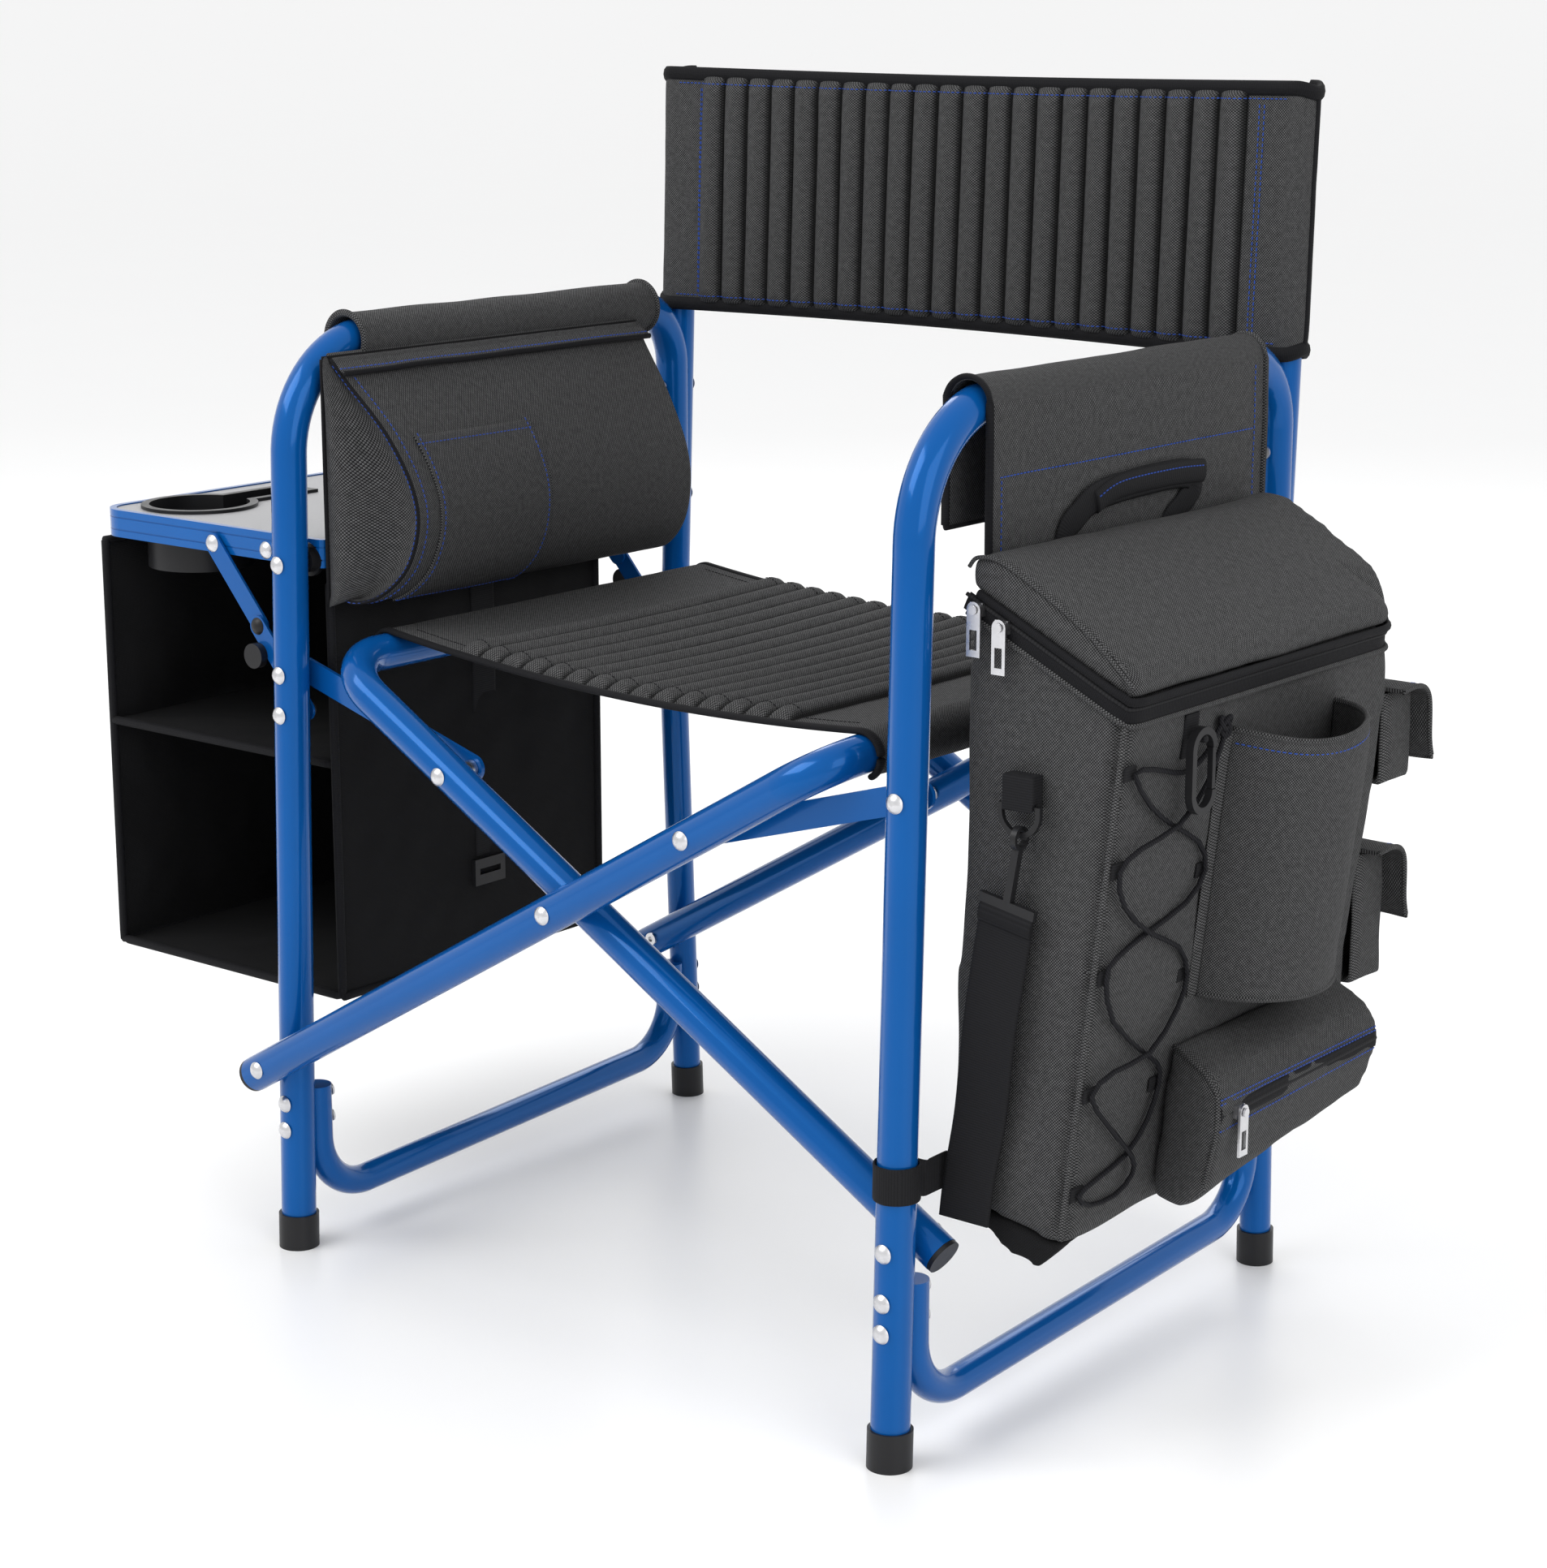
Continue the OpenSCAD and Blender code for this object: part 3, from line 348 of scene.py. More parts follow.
def make(name, verts, faces, uvs, material, smooth=True):
    """Mesh object from vertex places, faces and one UV (in metres) per vertex."""
    mesh = bpy.data.meshes.new(name)
    mesh.from_pydata([tuple(map(float, v)) for v in verts], [], faces)
    layer = mesh.uv_layers.new(name="UVMap")
    index = np.empty(len(mesh.loops), dtype=np.int32)
    mesh.loops.foreach_get("vertex_index", index)
    layer.data.foreach_set("uv", np.asarray(uvs, dtype=np.float32)[index].reshape(-1))
    mesh.polygons.foreach_set("use_smooth", [smooth] * len(mesh.polygons))
    mesh.materials.append(MAT[material])
    mesh.validate()
    obj = bpy.data.objects.new(name, mesh)
    scene.collection.objects.link(obj)
    return obj


def fix_normals(obj):
    bm = bmesh.new()
    bm.from_mesh(obj.data)
    bmesh.ops.recalc_face_normals(bm, faces=bm.faces)
    bm.to_mesh(obj.data)
    bm.free()
    return obj


def slab(name, nu, nv, surface, outer, inner, material, size, seam=None):
    """Closed soft sheet between two offsets of surface(u, v, offset), with u and v from 0 to 1."""
    verts, uvs = [], []
    for offset in (outer, inner):
        for i in range(nu + 1):
            for j in range(nv + 1):
                u, v = i / nu, j / nv
                verts.append(surface(u, v, offset))
                uvs.append((u * size[0], v * size[1]))
    n = (nu + 1) * (nv + 1)

    def at(i, j, k=0):
        return k * n + i * (nv + 1) + j

    faces = []
    for i in range(nu):
        for j in range(nv):
            faces.append((at(i, j), at(i + 1, j), at(i + 1, j + 1), at(i, j + 1)))
            faces.append((at(i, j, 1), at(i, j + 1, 1), at(i + 1, j + 1, 1), at(i + 1, j, 1)))
    for i in range(nu):
        for j in (0, nv):
            faces.append((at(i, j), at(i, j, 1), at(i + 1, j, 1), at(i + 1, j)))
    for j in range(nv):
        for i in (0, nu):
            faces.append((at(i, j), at(i, j + 1), at(i, j + 1, 1), at(i, j, 1)))
    piece = fix_normals(make(name, verts, faces, uvs, material))
    # Painted shade: seam gives the amount of shade at each step along u, stored as the 'seam' attribute that
    # darkens the cloth in the rib valleys.
    if seam:
        shade = [seam(i / nu) for i in range(nu + 1) for j in range(nv + 1)] * 2
        piece.data.attributes.new("seam", "FLOAT", "POINT").data.foreach_set("value", shade)
    return piece


def sweep(name, points, rx, rz, material, up=(0, 0, 1), sides=10, closed=False):
    """Rounded bead or tape along a route: rx across, rz along up."""
    pts = [Vector(p) for p in points]
    n = len(pts)
    verts, uvs, run = [], [], 0.0
    for i, p in enumerate(pts):
        before = pts[(i - 1) % n] if closed or i else pts[0]
        after = pts[(i + 1) % n] if closed or i < n - 1 else pts[-1]
        t = (after - before).normalized()
        side = t.cross(Vector(up))
        side = side.normalized() if side.length > 1e-6 else Vector((1, 0, 0))
        high = side.cross(t).normalized()
        if i:
            run += (p - pts[i - 1]).length
        for k in range(sides):
            a = 2 * math.pi * k / sides
            verts.append(p + side * (rx * math.cos(a)) + high * (rz * math.sin(a)))
            uvs.append((run, k / sides * 2 * (rx + rz)))
    faces = []
    for i in range(n if closed else n - 1):
        j = (i + 1) % n
        for k in range(sides):
            m = (k + 1) % sides
            faces.append((i * sides + k, i * sides + m, j * sides + m, j * sides + k))
    if not closed:
        faces.append(tuple(range(sides))[::-1])
        faces.append(tuple((n - 1) * sides + k for k in range(sides)))
    return fix_normals(make(name, verts, faces, uvs, material))


def walk(points, step):
    """Points evenly spaced along a polyline, with the direction at each."""
    pts = [Vector(p) for p in points]
    out, left = [], 0.0
    for a, b in zip(pts, pts[1:]):
        d = b - a
        length = d.length
        if length < 1e-9:
            continue
        pos = left
        while pos <= length:
            out.append((a + d * (pos / length), d.normalized()))
            pos += step
        left = pos - length
    return out


def stitches(name, routes, up, material="blue_thread", pitch=3.6 * MM, length=2.3 * MM, r=0.34 * MM):
    """Rows of short thread ends along routes, standing out along up (a vector or a function)."""
    verts, faces, uvs = [], [], []
    for route in routes:
        for p, t in walk(route, pitch):
            n = Vector(up(p) if callable(up) else up).normalized()
            s = t.cross(n).normalized()
            base = len(verts)
            for end in (-0.5, 0.5):
                for a, b in ((-1, -0.6), (1, -0.6), (1, 0.6), (-1, 0.6)):
                    inset = 0.8 if b > 0 else 1.0
                    verts.append(p + t * (end * length * inset) + s * (a * r) + n * (b * r))
                    uvs.append((0, 0))
            faces += [tuple(base + i for i in f) for f in
                      ((0, 1, 2, 3), (7, 6, 5, 4), (0, 4, 5, 1), (1, 5, 6, 2), (2, 6, 7, 3), (3, 7, 4, 0))]
    return make(name, verts, faces, uvs, material, smooth=False)


def ripple(p, scale, seed):
    """Smooth wrinkle value from -1 to 1 at a point."""
    return noise.noise(Vector(p) * scale + Vector((seed * 3.1, seed * 1.7, seed * 0.9)))


def box_uv(obj):
    """UVs in metres, projected along each face's main axis."""
    mesh = obj.data
    layer = mesh.uv_layers.get("UVMap") or mesh.uv_layers.new(name="UVMap")
    co = np.array([v.co for v in mesh.vertices])
    uv = np.zeros((len(mesh.loops), 2), dtype=np.float32)
    for poly in mesh.polygons:
        axis = int(np.argmax(np.abs(np.array(poly.normal))))
        a, b = [(1, 2), (0, 2), (0, 1)][axis]
        for li in poly.loop_indices:
            c = co[mesh.loops[li].vertex_index]
            uv[li] = (c[a], c[b])
    layer.data.foreach_set("uv", uv.reshape(-1))
    return obj


def baked(obj):
    """The object with its modifiers made part of its mesh."""
    dg = bpy.context.evaluated_depsgraph_get()
    mesh = bpy.data.meshes.new_from_object(obj.evaluated_get(dg))
    obj.modifiers.clear()
    obj.data = mesh
    return obj


def prism(name, corners, y0, y1, material):
    """Closed block: an outline of (x, z) points run along Y."""
    n = len(corners)
    verts = [(x, y, z) for y in (y0, y1) for x, z in corners]
    faces = [tuple(range(n)), tuple(range(2 * n - 1, n - 1, -1))]
    faces += [(i, (i + 1) % n, n + (i + 1) % n, n + i) for i in range(n)]
    return fix_normals(make(name, verts, faces, [(0, 0)] * (2 * n), material, smooth=False))


def rebuilt(obj, voxel, rounds):
    """The object remade in small even faces and rounded."""
    mod = obj.modifiers.new("remesh", "REMESH")
    mod.mode = "VOXEL"
    mod.voxel_size = voxel
    baked(obj)
    mod = obj.modifiers.new("smooth", "SMOOTH")
    mod.factor = 0.5
    mod.iterations = rounds
    return baked(obj)


def shade_smooth(obj):
    for poly in obj.data.polygons:
        poly.use_smooth = True


def soften(obj, voxel, rounds, wrinkle, scale, seed, pressure):
    """Fabric block: rebuilt in small faces, rounded, puffed by a cloth step, then creased."""
    rebuilt(obj, voxel, rounds)
    if pressure > 0:
        puff(obj, pressure)
    for v in obj.data.vertices:
        crease = wrinkle * ripple(v.co, scale, seed) + wrinkle * 0.4 * ripple(v.co, scale * 3, seed + 1)
        v.co += Vector(v.normal) * crease
    mod = obj.modifiers.new("sub", "SUBSURF")
    mod.levels = mod.render_levels = 1
    baked(obj)
    shade_smooth(obj)
    return box_uv(obj)


def puff(obj, pressure, frames=14, cap=0.8 * MM):
    """Runs a short pressure cloth step and keeps each point within cap of where it was."""
    rest = np.array([v.co for v in obj.data.vertices])
    mod = obj.modifiers.new("cloth", "CLOTH")
    s = mod.settings
    s.quality = 4
    s.mass = 0.25
    s.tension_stiffness = s.compression_stiffness = 12
    s.shear_stiffness = 6
    s.bending_stiffness = 0.4
    s.use_pressure = True
    s.uniform_pressure_force = pressure
    s.effector_weights.gravity = 0
    mod.point_cache.frame_start, mod.point_cache.frame_end = 1, frames
    for f in range(1, frames + 1):
        scene.frame_set(f)
    baked(obj)
    scene.frame_set(1)
    moved = np.array([v.co for v in obj.data.vertices])
    if moved.shape == rest.shape:
        d = moved - rest
        far = np.linalg.norm(d, axis=1, keepdims=True)
        d *= np.minimum(1, cap / np.maximum(far, 1e-9))
        for v, p in zip(obj.data.vertices, rest + d):
            v.co = Vector(p)


# ---------------------------------------------------------------- how each group of soft pieces moves


def dress(obj, group, slot):
    """Ties a soft piece to the bodies it goes with."""
    if group == "seat":
        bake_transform(obj)
    elif group == "back":
        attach(obj, "left_side")
        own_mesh(obj)
    elif group == "pouch":
        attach(obj, "left_side")
        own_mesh(obj)
    elif group == "organizer":
        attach(obj, "left_side")
        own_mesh(obj)
    else:
        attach(obj, group)
    return obj


def bead(name, route, rx, rz, material, group, slot="webbing", **shape):
    """Tape, piping or seam along a route, tied to a group."""
    return dress(sweep(name, route, rx, rz, material, **shape), group, slot)


def piped(name, route, rx, rz, group="right_side", **shape):
    """Seam or hem in the bag's own cloth."""
    return bead(name, route, rx, rz, "bag_fabric", group, "bag_fabric", **shape)


def sewn(name, rows, up, group, **thread):
    """Rows of stitches, tied to a group."""
    return dress(stitches(name, rows, up, **thread), group, "webbing")


# ---------------------------------------------------------------- seat

RAIL_R = 12.5 * MM
RAIL_L = SEAT_LO.x + RAIL_R + 2.6 * MM
RAIL_RT = SEAT_HI.x - RAIL_R - 2.6 * MM
RAIL_Z = SEAT_LO.z + RAIL_R + 2.6 * MM
SEAT_HALF = 172 * MM
SEAT_RIBS = 15
WRAP_STEPS = 16
SPAN_STEPS = 120


def wrap_path(a, b, radius, turn=math.radians(150)):
    """Points and outward directions of a cross-section that wraps the bars at a and b (x, z)."""
    def on_bar(bar, angle):
        way = (math.cos(angle), math.sin(angle))
        return ((bar[0] + radius * way[0], bar[1] + radius * way[1]), way)

    out = [on_bar(a, math.pi / 2 + turn * (1 - i / WRAP_STEPS)) for i in range(WRAP_STEPS + 1)]
    for i in range(1, SPAN_STEPS):
        x, z = lerp(a[0], b[0], i / SPAN_STEPS), lerp(a[1], b[1], i / SPAN_STEPS)
        out.append(((x, z + radius), (0, 1)))
    return out + [on_bar(b, math.pi / 2 - turn * i / WRAP_STEPS) for i in range(WRAP_STEPS + 1)]


def rib_height(x, lo, hi, count, height):
    if not lo < x < hi:
        return 0.0
    k = (x - lo) / (hi - lo) * count
    return height * abs(math.sin(math.pi * k)) ** 0.6


def seam_shade(x, lo, hi, count):
    """1 in the sewn valley between two ribs, 0 on top of a rib."""
    if not lo < x < hi:
        return 0.0
    k = (x - lo) / (hi - lo) * count
    return clamp(1.15 - 2.2 * abs(math.sin(math.pi * k)))


def seat_mid(x):
    """Middle of the seat in Y: it is skewed a little, as the two rails are."""
    return lerp(22 * MM, -24 * MM, clamp((x - RAIL_L) / (RAIL_RT - RAIL_L)))


def path_at(path, u):
    """Place (two numbers) and outward direction (two numbers) on a wrap path at u from 0 to 1."""
    k = u * (len(path) - 1)
    i = min(int(k), len(path) - 2)
    (p0, n0), (p1, n1) = path[i], path[i + 1]
    return [lerp(a, b, k - i) for a, b in zip((*p0, *n0), (*p1, *n1))]


seat_path = wrap_path((RAIL_L, RAIL_Z), (RAIL_RT, RAIL_Z), RAIL_R + 1.2 * MM)
SEAT_RIB_LO, SEAT_RIB_HI = RAIL_L + 72 * MM, RAIL_RT - 62 * MM


def seat_sag(x, t):
    q = clamp((x - RAIL_L) / (RAIL_RT - RAIL_L))
    return 15 * MM * 4 * q * (1 - q) * (0.75 + 0.25 * math.sin(math.pi * t))


def seat_point(u, v, side):
    x, z, nx, nz = path_at(seat_path, u)
    end = min(v, 1 - v) * 2 * SEAT_HALF
    full = clamp(end / (9 * MM)) ** 0.5
    y = seat_mid(x) + (2 * v - 1) * SEAT_HALF
    if side > 0:
        thick = 1.1 * MM + (0.6 * MM + rib_height(x, SEAT_RIB_LO, SEAT_RIB_HI, SEAT_RIBS, 8.0 * MM)) * full
        thick += 0.5 * MM * ripple((x, y * 0.3, 0), 14, 3) * full
        thick += 0.25 * MM * ripple((x, y, 0), 50, 5) * full
    else:
        thick = -0.7 * MM
    inside = RAIL_L < x < RAIL_RT
    sag = seat_sag(x, v) if inside else 0
    return (x + nx * thick, y, z + nz * thick - sag)


SEAT_W = RAIL_RT - RAIL_L + 70 * MM
# seam sets the painted shade in the valleys between the seat's ribs.
seat = slab("seat_cloth", 420, 60, seat_point, 1, -1, "quilted_fabric", (SEAT_W, 2 * SEAT_HALF),
            seam=lambda u: seam_shade(seat_point(u, 0.5, 0)[0], SEAT_RIB_LO, SEAT_RIB_HI, SEAT_RIBS))
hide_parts("seat_panel")
dress(seat, "seat", "padded_fabric")


def edge_route(point, v, count=150, lo=0.0, hi=1.0, lift=0.0):
    return [Vector(point(u, v, 1)) + Vector((0, 0, lift)) for u in steps(count, lo, hi)]


for tag, v in (("front", 0.0), ("rear", 1.0)):
    bead("seat_tape_" + tag, edge_route(seat_point, v, lift=-0.6 * MM), 3.6 * MM, 2.2 * MM, "tape", "seat")
seat_rows = [edge_route(seat_point, v, 240, 0.13, 0.87, 0.3 * MM) for v in (0.045, 0.955)]
sewn("seat_stitches", seat_rows, (0, 0, 1), "seat", material="tape")

# ---------------------------------------------------------------- back panel


def post_top_y(node):
    """Y of a back post's axis near its top."""
    return max(v.co.y for v in frame["nodes"][node].data.vertices if v.co.z > 0.8) - POST_R


BACK_TOP_L = post_top_y("left_back_post")
BACK_TOP_R = post_top_y("right_back_post")
LEAN = 18 / 470
BACK_H = BACK_HI.z - BACK_LO.z
BACK_RIBS = 22
back_path = wrap_path((LEG_L, 0), (LEG_R, 0), POST_R + 1.6 * MM, math.radians(178))
BACK_RIB_LO, BACK_RIB_HI = LEG_L + 31 * MM, LEG_R - 33 * MM


def back_point(u, v, side):
    """The panel hangs in front of the posts' axes: its span is on the sitter's side."""
    x, w, nx, nw = path_at(back_path, u)
    q = clamp((x - LEG_L) / (LEG_R - LEG_L))
    z = BACK_LO.z + v * BACK_H
    axis_y = lerp(BACK_TOP_L, BACK_TOP_R, q) + (z - 0.82) * LEAN
    end = min(v, 1 - v) * BACK_H
    full = clamp(end / (9 * MM)) ** 0.5
    if side > 0:
        thick = 1.0 * MM + (0.6 * MM + rib_height(x, BACK_RIB_LO, BACK_RIB_HI, BACK_RIBS, 8.4 * MM)) * full
        thick += 0.9 * MM * ripple((x, 0, z * 0.4), 22, 8) * full
        thick += 0.2 * MM * ripple((x, 0, z), 60, 9) * full
    else:
        thick = -0.8 * MM
    inside = LEG_L < x < LEG_R
    sag = 10 * MM * 4 * q * (1 - q) if inside else 0
    dip = 2.2 * MM * math.sin(math.pi * q) * (2 * v - 1) if inside else 0
    corner = clamp((max(LEG_L - x, x - LEG_R) - 4 * MM) / (11 * MM), 0, 0.99)
    dip += 9 * MM * (1 - math.sqrt(1 - corner ** 2)) * (2 * v - 1)
    return (x + nx * thick, axis_y - (w + nw * thick) + sag, z - dip)


BACK_W = LEG_R - LEG_L + 80 * MM
# seam sets the painted shade in the valleys between the back's ribs.
back = slab("back_cloth", 460, 48, back_point, 1, -1, "quilted_fabric", (BACK_W, BACK_H),
            seam=lambda u: seam_shade(back_point(u, 0.5, 0)[0], BACK_RIB_LO, BACK_RIB_HI, BACK_RIBS))
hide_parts("back_panel")
dress(back, "back", "padded_fabric")
for tag, v in (("low", 0.0), ("top", 1.0)):
    bead("back_tape_" + tag, edge_route(back_point, v, 200), 3.0 * MM, 5.2 * MM, "tape", "back")

for tag, place in (("left", 8), ("right", len(back_path) - 9)):
    side = [back_point(place / (len(back_path) - 1), v, 1) for v in steps(40, 0.01, 0.99)]
    bead("back_tape_" + tag, side, 2.0 * MM, 1.6 * MM, "tape", "back", up=(1, 0, 0))


def on_back(x, v):
    """Point on the panel's front at x."""
    u = WRAP_STEPS + 1 + (x - LEG_L) / (LEG_R - LEG_L) * SPAN_STEPS
    p = Vector(back_point(u / (len(back_path) - 1), v, 1))
    return p + Vector((0, -0.4 * MM, 0))


back_rows = []
for v in (0.04, 0.96):
    back_rows.append([on_back(x, v) for x in steps(200, LEG_L + 4 * MM, LEG_R - 4 * MM)])
for x in (LEG_L + 24 * MM, LEG_L + 28 * MM, LEG_R - 24 * MM, LEG_R - 28 * MM):
    back_rows.append([on_back(x, v) for v in steps(40, 0.06, 0.94)])
sewn("back_stitches", back_rows, (0, -1, 0), "back")
for tag, x, y in (("left", LEG_L, BACK_TOP_L), ("right", LEG_R, BACK_TOP_R)):
    ring = [(x + 5.5 * MM * math.cos(a), y + 5.5 * MM * math.sin(a), BACK_HI.z - 1.2 * MM)
            for a in [2 * math.pi * i / 24 for i in range(24)]]
    bead("post_cover_" + tag, ring, 6 * MM, 2 * MM, "tape", "back", closed=True)

# ---------------------------------------------------------------- left arm: sleeve and pouch


def curve(points, count):
    """Smooth line through points of two or three numbers each."""
    pts = [Vector(p) for p in points]
    out = []
    for i in range(len(pts) - 1):
        a, b, c, d = pts[max(i - 1, 0)], pts[i], pts[i + 1], pts[min(i + 2, len(pts) - 1)]
        square, cube = 2 * a - 5 * b + 4 * c - d, 3 * b - a - 3 * c + d
        for k in range(count):
            t = k / count
            out.append(0.5 * (2 * b + (c - a) * t + square * t * t + cube * t ** 3))
    return out + [pts[-1]]


def along(line, s):
    """Point of a line at s from 0 to 1."""
    k = clamp(s) * (len(line) - 1)
    i = min(int(k), len(line) - 2)
    return line[i].lerp(line[i + 1], k - i)


SLEEVE_Z = (SLEEVE_LO.z + SLEEVE_HI.z) / 2
SLEEVE_R = 18.5 * MM
SLEEVE_Y0, SLEEVE_Y1 = SLEEVE_LO.y - 15 * MM, SLEEVE_HI.y + 8 * MM
SLEEVE_TURN = (math.radians(-62), math.radians(297))


def sleeve_point(u, v, side):
    a = lerp(*SLEEVE_TURN, u)
    y = lerp(SLEEVE_Y0, SLEEVE_Y1, v)
    r = SLEEVE_R - 2.2 * MM
    if side > 0:
        r = SLEEVE_R + 0.7 * MM * ripple((math.cos(a) * 0.03, y, math.sin(a) * 0.03), 20, 2)
    return (LEG_L + r * math.cos(a), y, SLEEVE_Z + r * math.sin(a))


sleeve = slab("arm_cloth", 60, 110, sleeve_point, 1, -1, "padded_fabric",
              (2 * math.pi * SLEEVE_R, SLEEVE_Y1 - SLEEVE_Y0))
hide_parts("arm_sleeve")
dress(sleeve, "left_side", "padded_fabric")
for tag, v in (("front", 0.0), ("rear", 1.0)):
    hem = [sleeve_point(u, v, 1) for u in steps(50)]
    bead("arm_tape_" + tag, hem, 2.6 * MM, 1.4 * MM, "padded_fabric", "left_side", up=(0, 1, 0))

# The pouch hangs from the sleeve: a flat panel, a bulging front, a folded side and a patch pocket.
POUCH_TOP = POUCH_HI.z
POUCH_POINTS = ((POUCH_LO.x, -2, 6), (POUCH_LO.x, 10, -14), (POUCH_LO.x, 29, -44), (POUCH_LO.x, 45, -78),
                (POUCH_HI.x, -2, -108), (POUCH_HI.x, -8, -138), (POUCH_LO.x, 29, -157),
                (POUCH_LO.x, 12, -162), (POUCH_LO.x, 1, -154))
POUCH_CURVE = curve([(x + dx * MM, POUCH_TOP + dz * MM) for x, dx, dz in POUCH_POINTS], 10)
PANEL_X = POUCH_LO.x - 5 * MM
PANEL_Y0 = POUCH_LO.y - 13 * MM


def pouch_at(s, v, lift):
    p = along(POUCH_CURVE, s)
    t = (along(POUCH_CURVE, s + 0.01) - along(POUCH_CURVE, s - 0.01)).normalized()
    near_end = PANEL_Y0 + 6 * MM + 30 * MM * math.sin(math.pi * clamp(s * 1.1)) ** 1.5
    y = lerp(near_end, POUCH_HI.y - 2 * MM, v)
    soft = clamp(min(s, 1 - s) / 0.1)
    place = (p.x, y, p[1])
    lift += soft * (2.0 * MM * ripple(place, 12, 61) + 0.3 * MM * ripple(place, 45, 62))
    return (p.x - t[1] * lift, y, p[1] + t.x * lift)


front = slab("pouch_front", 90, 110, pouch_at, 1.6 * MM, -1.2 * MM, "padded_fabric", (0.25, 0.31))
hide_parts("arm_pouch")
dress(front, "pouch", "padded_fabric")


def panel_at(u, v, lift):
    return (PANEL_X + lift, lerp(PANEL_Y0, POUCH_HI.y, v), lerp(POUCH_TOP + 8 * MM, POUCH_LO.z, u))


panel = slab("pouch_panel", 40, 80, panel_at, 0.0, 1.8 * MM, "plain_fabric", (0.17, 0.32))
dress(panel, "pouch", "bag_fabric")


def gusset_at(s, v, lift):
    a = Vector(pouch_at(s, 0.0, 0.0))
    b = Vector((PANEL_X + 2 * MM, PANEL_Y0 + 1 * MM, a.z))
    p = b.lerp(a, v)
    fold = -9 * MM * math.sin(2 * math.pi * v) * math.sin(math.pi * clamp(s)) ** 0.5
    return (p.x, p.y + fold + lift, p.z + 5 * MM * ripple((v * 0.05, 0.2, s * 0.1), 30, 63))


gusset = slab("pouch_side", 50, 30, gusset_at, 0.8 * MM, -0.8 * MM, "bag_fabric", (0.20, 0.05))
dress(gusset, "pouch", "bag_fabric")
edges = [("front", [pouch_at(s, 0.0, 0.2 * MM) for s in steps(60)]),
         ("panel", [(PANEL_X + 1 * MM, PANEL_Y0, z) for z in steps(40, POUCH_TOP + 6 * MM, POUCH_LO.z)])]
for tag, route in edges:
    bead("pouch_tape_" + tag, route, 1.4 * MM, 2.4 * MM, "tape", "pouch", up=(0, 1, 0))

PATCH_S = (0.27, 0.80)
PATCH_V = (0.07, 0.46)


def patch_at(u, v, lift):
    return pouch_at(lerp(*PATCH_S, u), lerp(*PATCH_V, v), lift)


patch = slab("patch_pocket", 50, 50, patch_at, 3.6 * MM, 1.9 * MM, "padded_fabric", (0.13, 0.125))
dress(patch, "pouch", "padded_fabric")
rows = [[patch_at(t, v, 3.7 * MM) for t in steps(50)] for v in (0.03, 0.97)]
rows += [[patch_at(u, t, 3.7 * MM) for t in steps(50)] for u in (0.97, 0.04)]
rows.append([pouch_at(i / 90, 0.025, 1.8 * MM) for i in range(6, 86)])
rows.append([Vector(pouch_at(i / 90, 0.0, 0.0)) + Vector((0, -2.4 * MM, 0)) for i in range(4, 86)])
sewn("pouch_stitches", rows, (0.9, -0.2, 0.3), "pouch")


def skirt_at(u, v, lift):
    """Strip that hangs from the sleeve over the pouch's mouth."""
    x = lerp(LEG_L + 15 * MM, LEG_L + 32 * MM, u)
    z = lerp(SLEEVE_Z - 7 * MM, POUCH_TOP - 4 * MM, u)
    y = lerp(PANEL_Y0 + 8 * MM, POUCH_HI.y + 2 * MM, v)
    wave = 1.4 * MM * ripple((x, y, z), 30, 64) * u
    return (x + (lift + wave) * 0.8, y, z + (lift + wave) * 0.6)


skirt = slab("pouch_skirt", 16, 90, skirt_at, 2.4 * MM, 0.4 * MM, "padded_fabric", (0.028, 0.31))
dress(skirt, "pouch", "padded_fabric")
bead("skirt_tape", [skirt_at(1.0, v, 1.4 * MM) for v in steps(60)], 1.5 * MM, 2.0 * MM, "tape", "pouch")
sewn("skirt_stitches", [[skirt_at(0.8, v, 2.6 * MM) for v in steps(60)]], (0.8, 0, 0.6), "pouch")

# ---------------------------------------------------------------- organizer under the table

WALL = 2.5 * MM


def organizer_panel(name, corner, du, dv, normal, cells, wrinkle, seed, sag=0.0, bow=0.0):
    """Sewn panel of the organizer from a corner along du and dv, with soft creases."""
    corner, du, dv, normal = Vector(corner), Vector(du), Vector(dv), Vector(normal)

    def surface(u, v, t):
        edge = min(u, 1 - u, v, 1 - v)
        soft = clamp(edge / 0.08)
        p = corner + du * u + dv * v
        lift = wrinkle * (ripple(p, 16, seed) + 0.4 * ripple(p, 48, seed + 1)) * soft
        lift += bow * 16 * u * (1 - u) * v * (1 - v)
        drop = Vector((0, 0, -sag * 16 * u * (1 - u) * v * (1 - v)))
        return p + normal * (lift + t) + drop

    piece = slab("organizer_" + name, cells, cells, surface, WALL, 0.0, "plain_fabric",
                 (du.length, dv.length))
    return dress(piece, "organizer", "bag_fabric")


ox0, oy0, oz0 = ORG_LO
ox1, oy1, oz1 = ORG_HI
SHELF_Z = 352 * MM
width, depth, height = ox1 - ox0, oy1 - oy0, oz1 - oz0
across, deep, tall = (width, 0, 0), (0, depth, 0), (0, 0, height)
org_back = organizer_panel("back", (ox0, oy1 - WALL, oz0), across, tall, (0, 1, 0), 60, 3.5 * MM, 21)
organizer_panel("outer", (ox0, oy0, oz0), deep, tall, (1, 0, 0), 60, 4.0 * MM, 22, bow=-3 * MM)
organizer_panel("inner", (ox1 - WALL, oy0, oz0), deep, tall, (1, 0, 0), 60, 2.6 * MM, 23, bow=1.5 * MM)
organizer_panel("floor", (ox0, oy0, oz0), across, deep, (0, 0, 1), 50, 1.6 * MM, 24, sag=4 * MM)
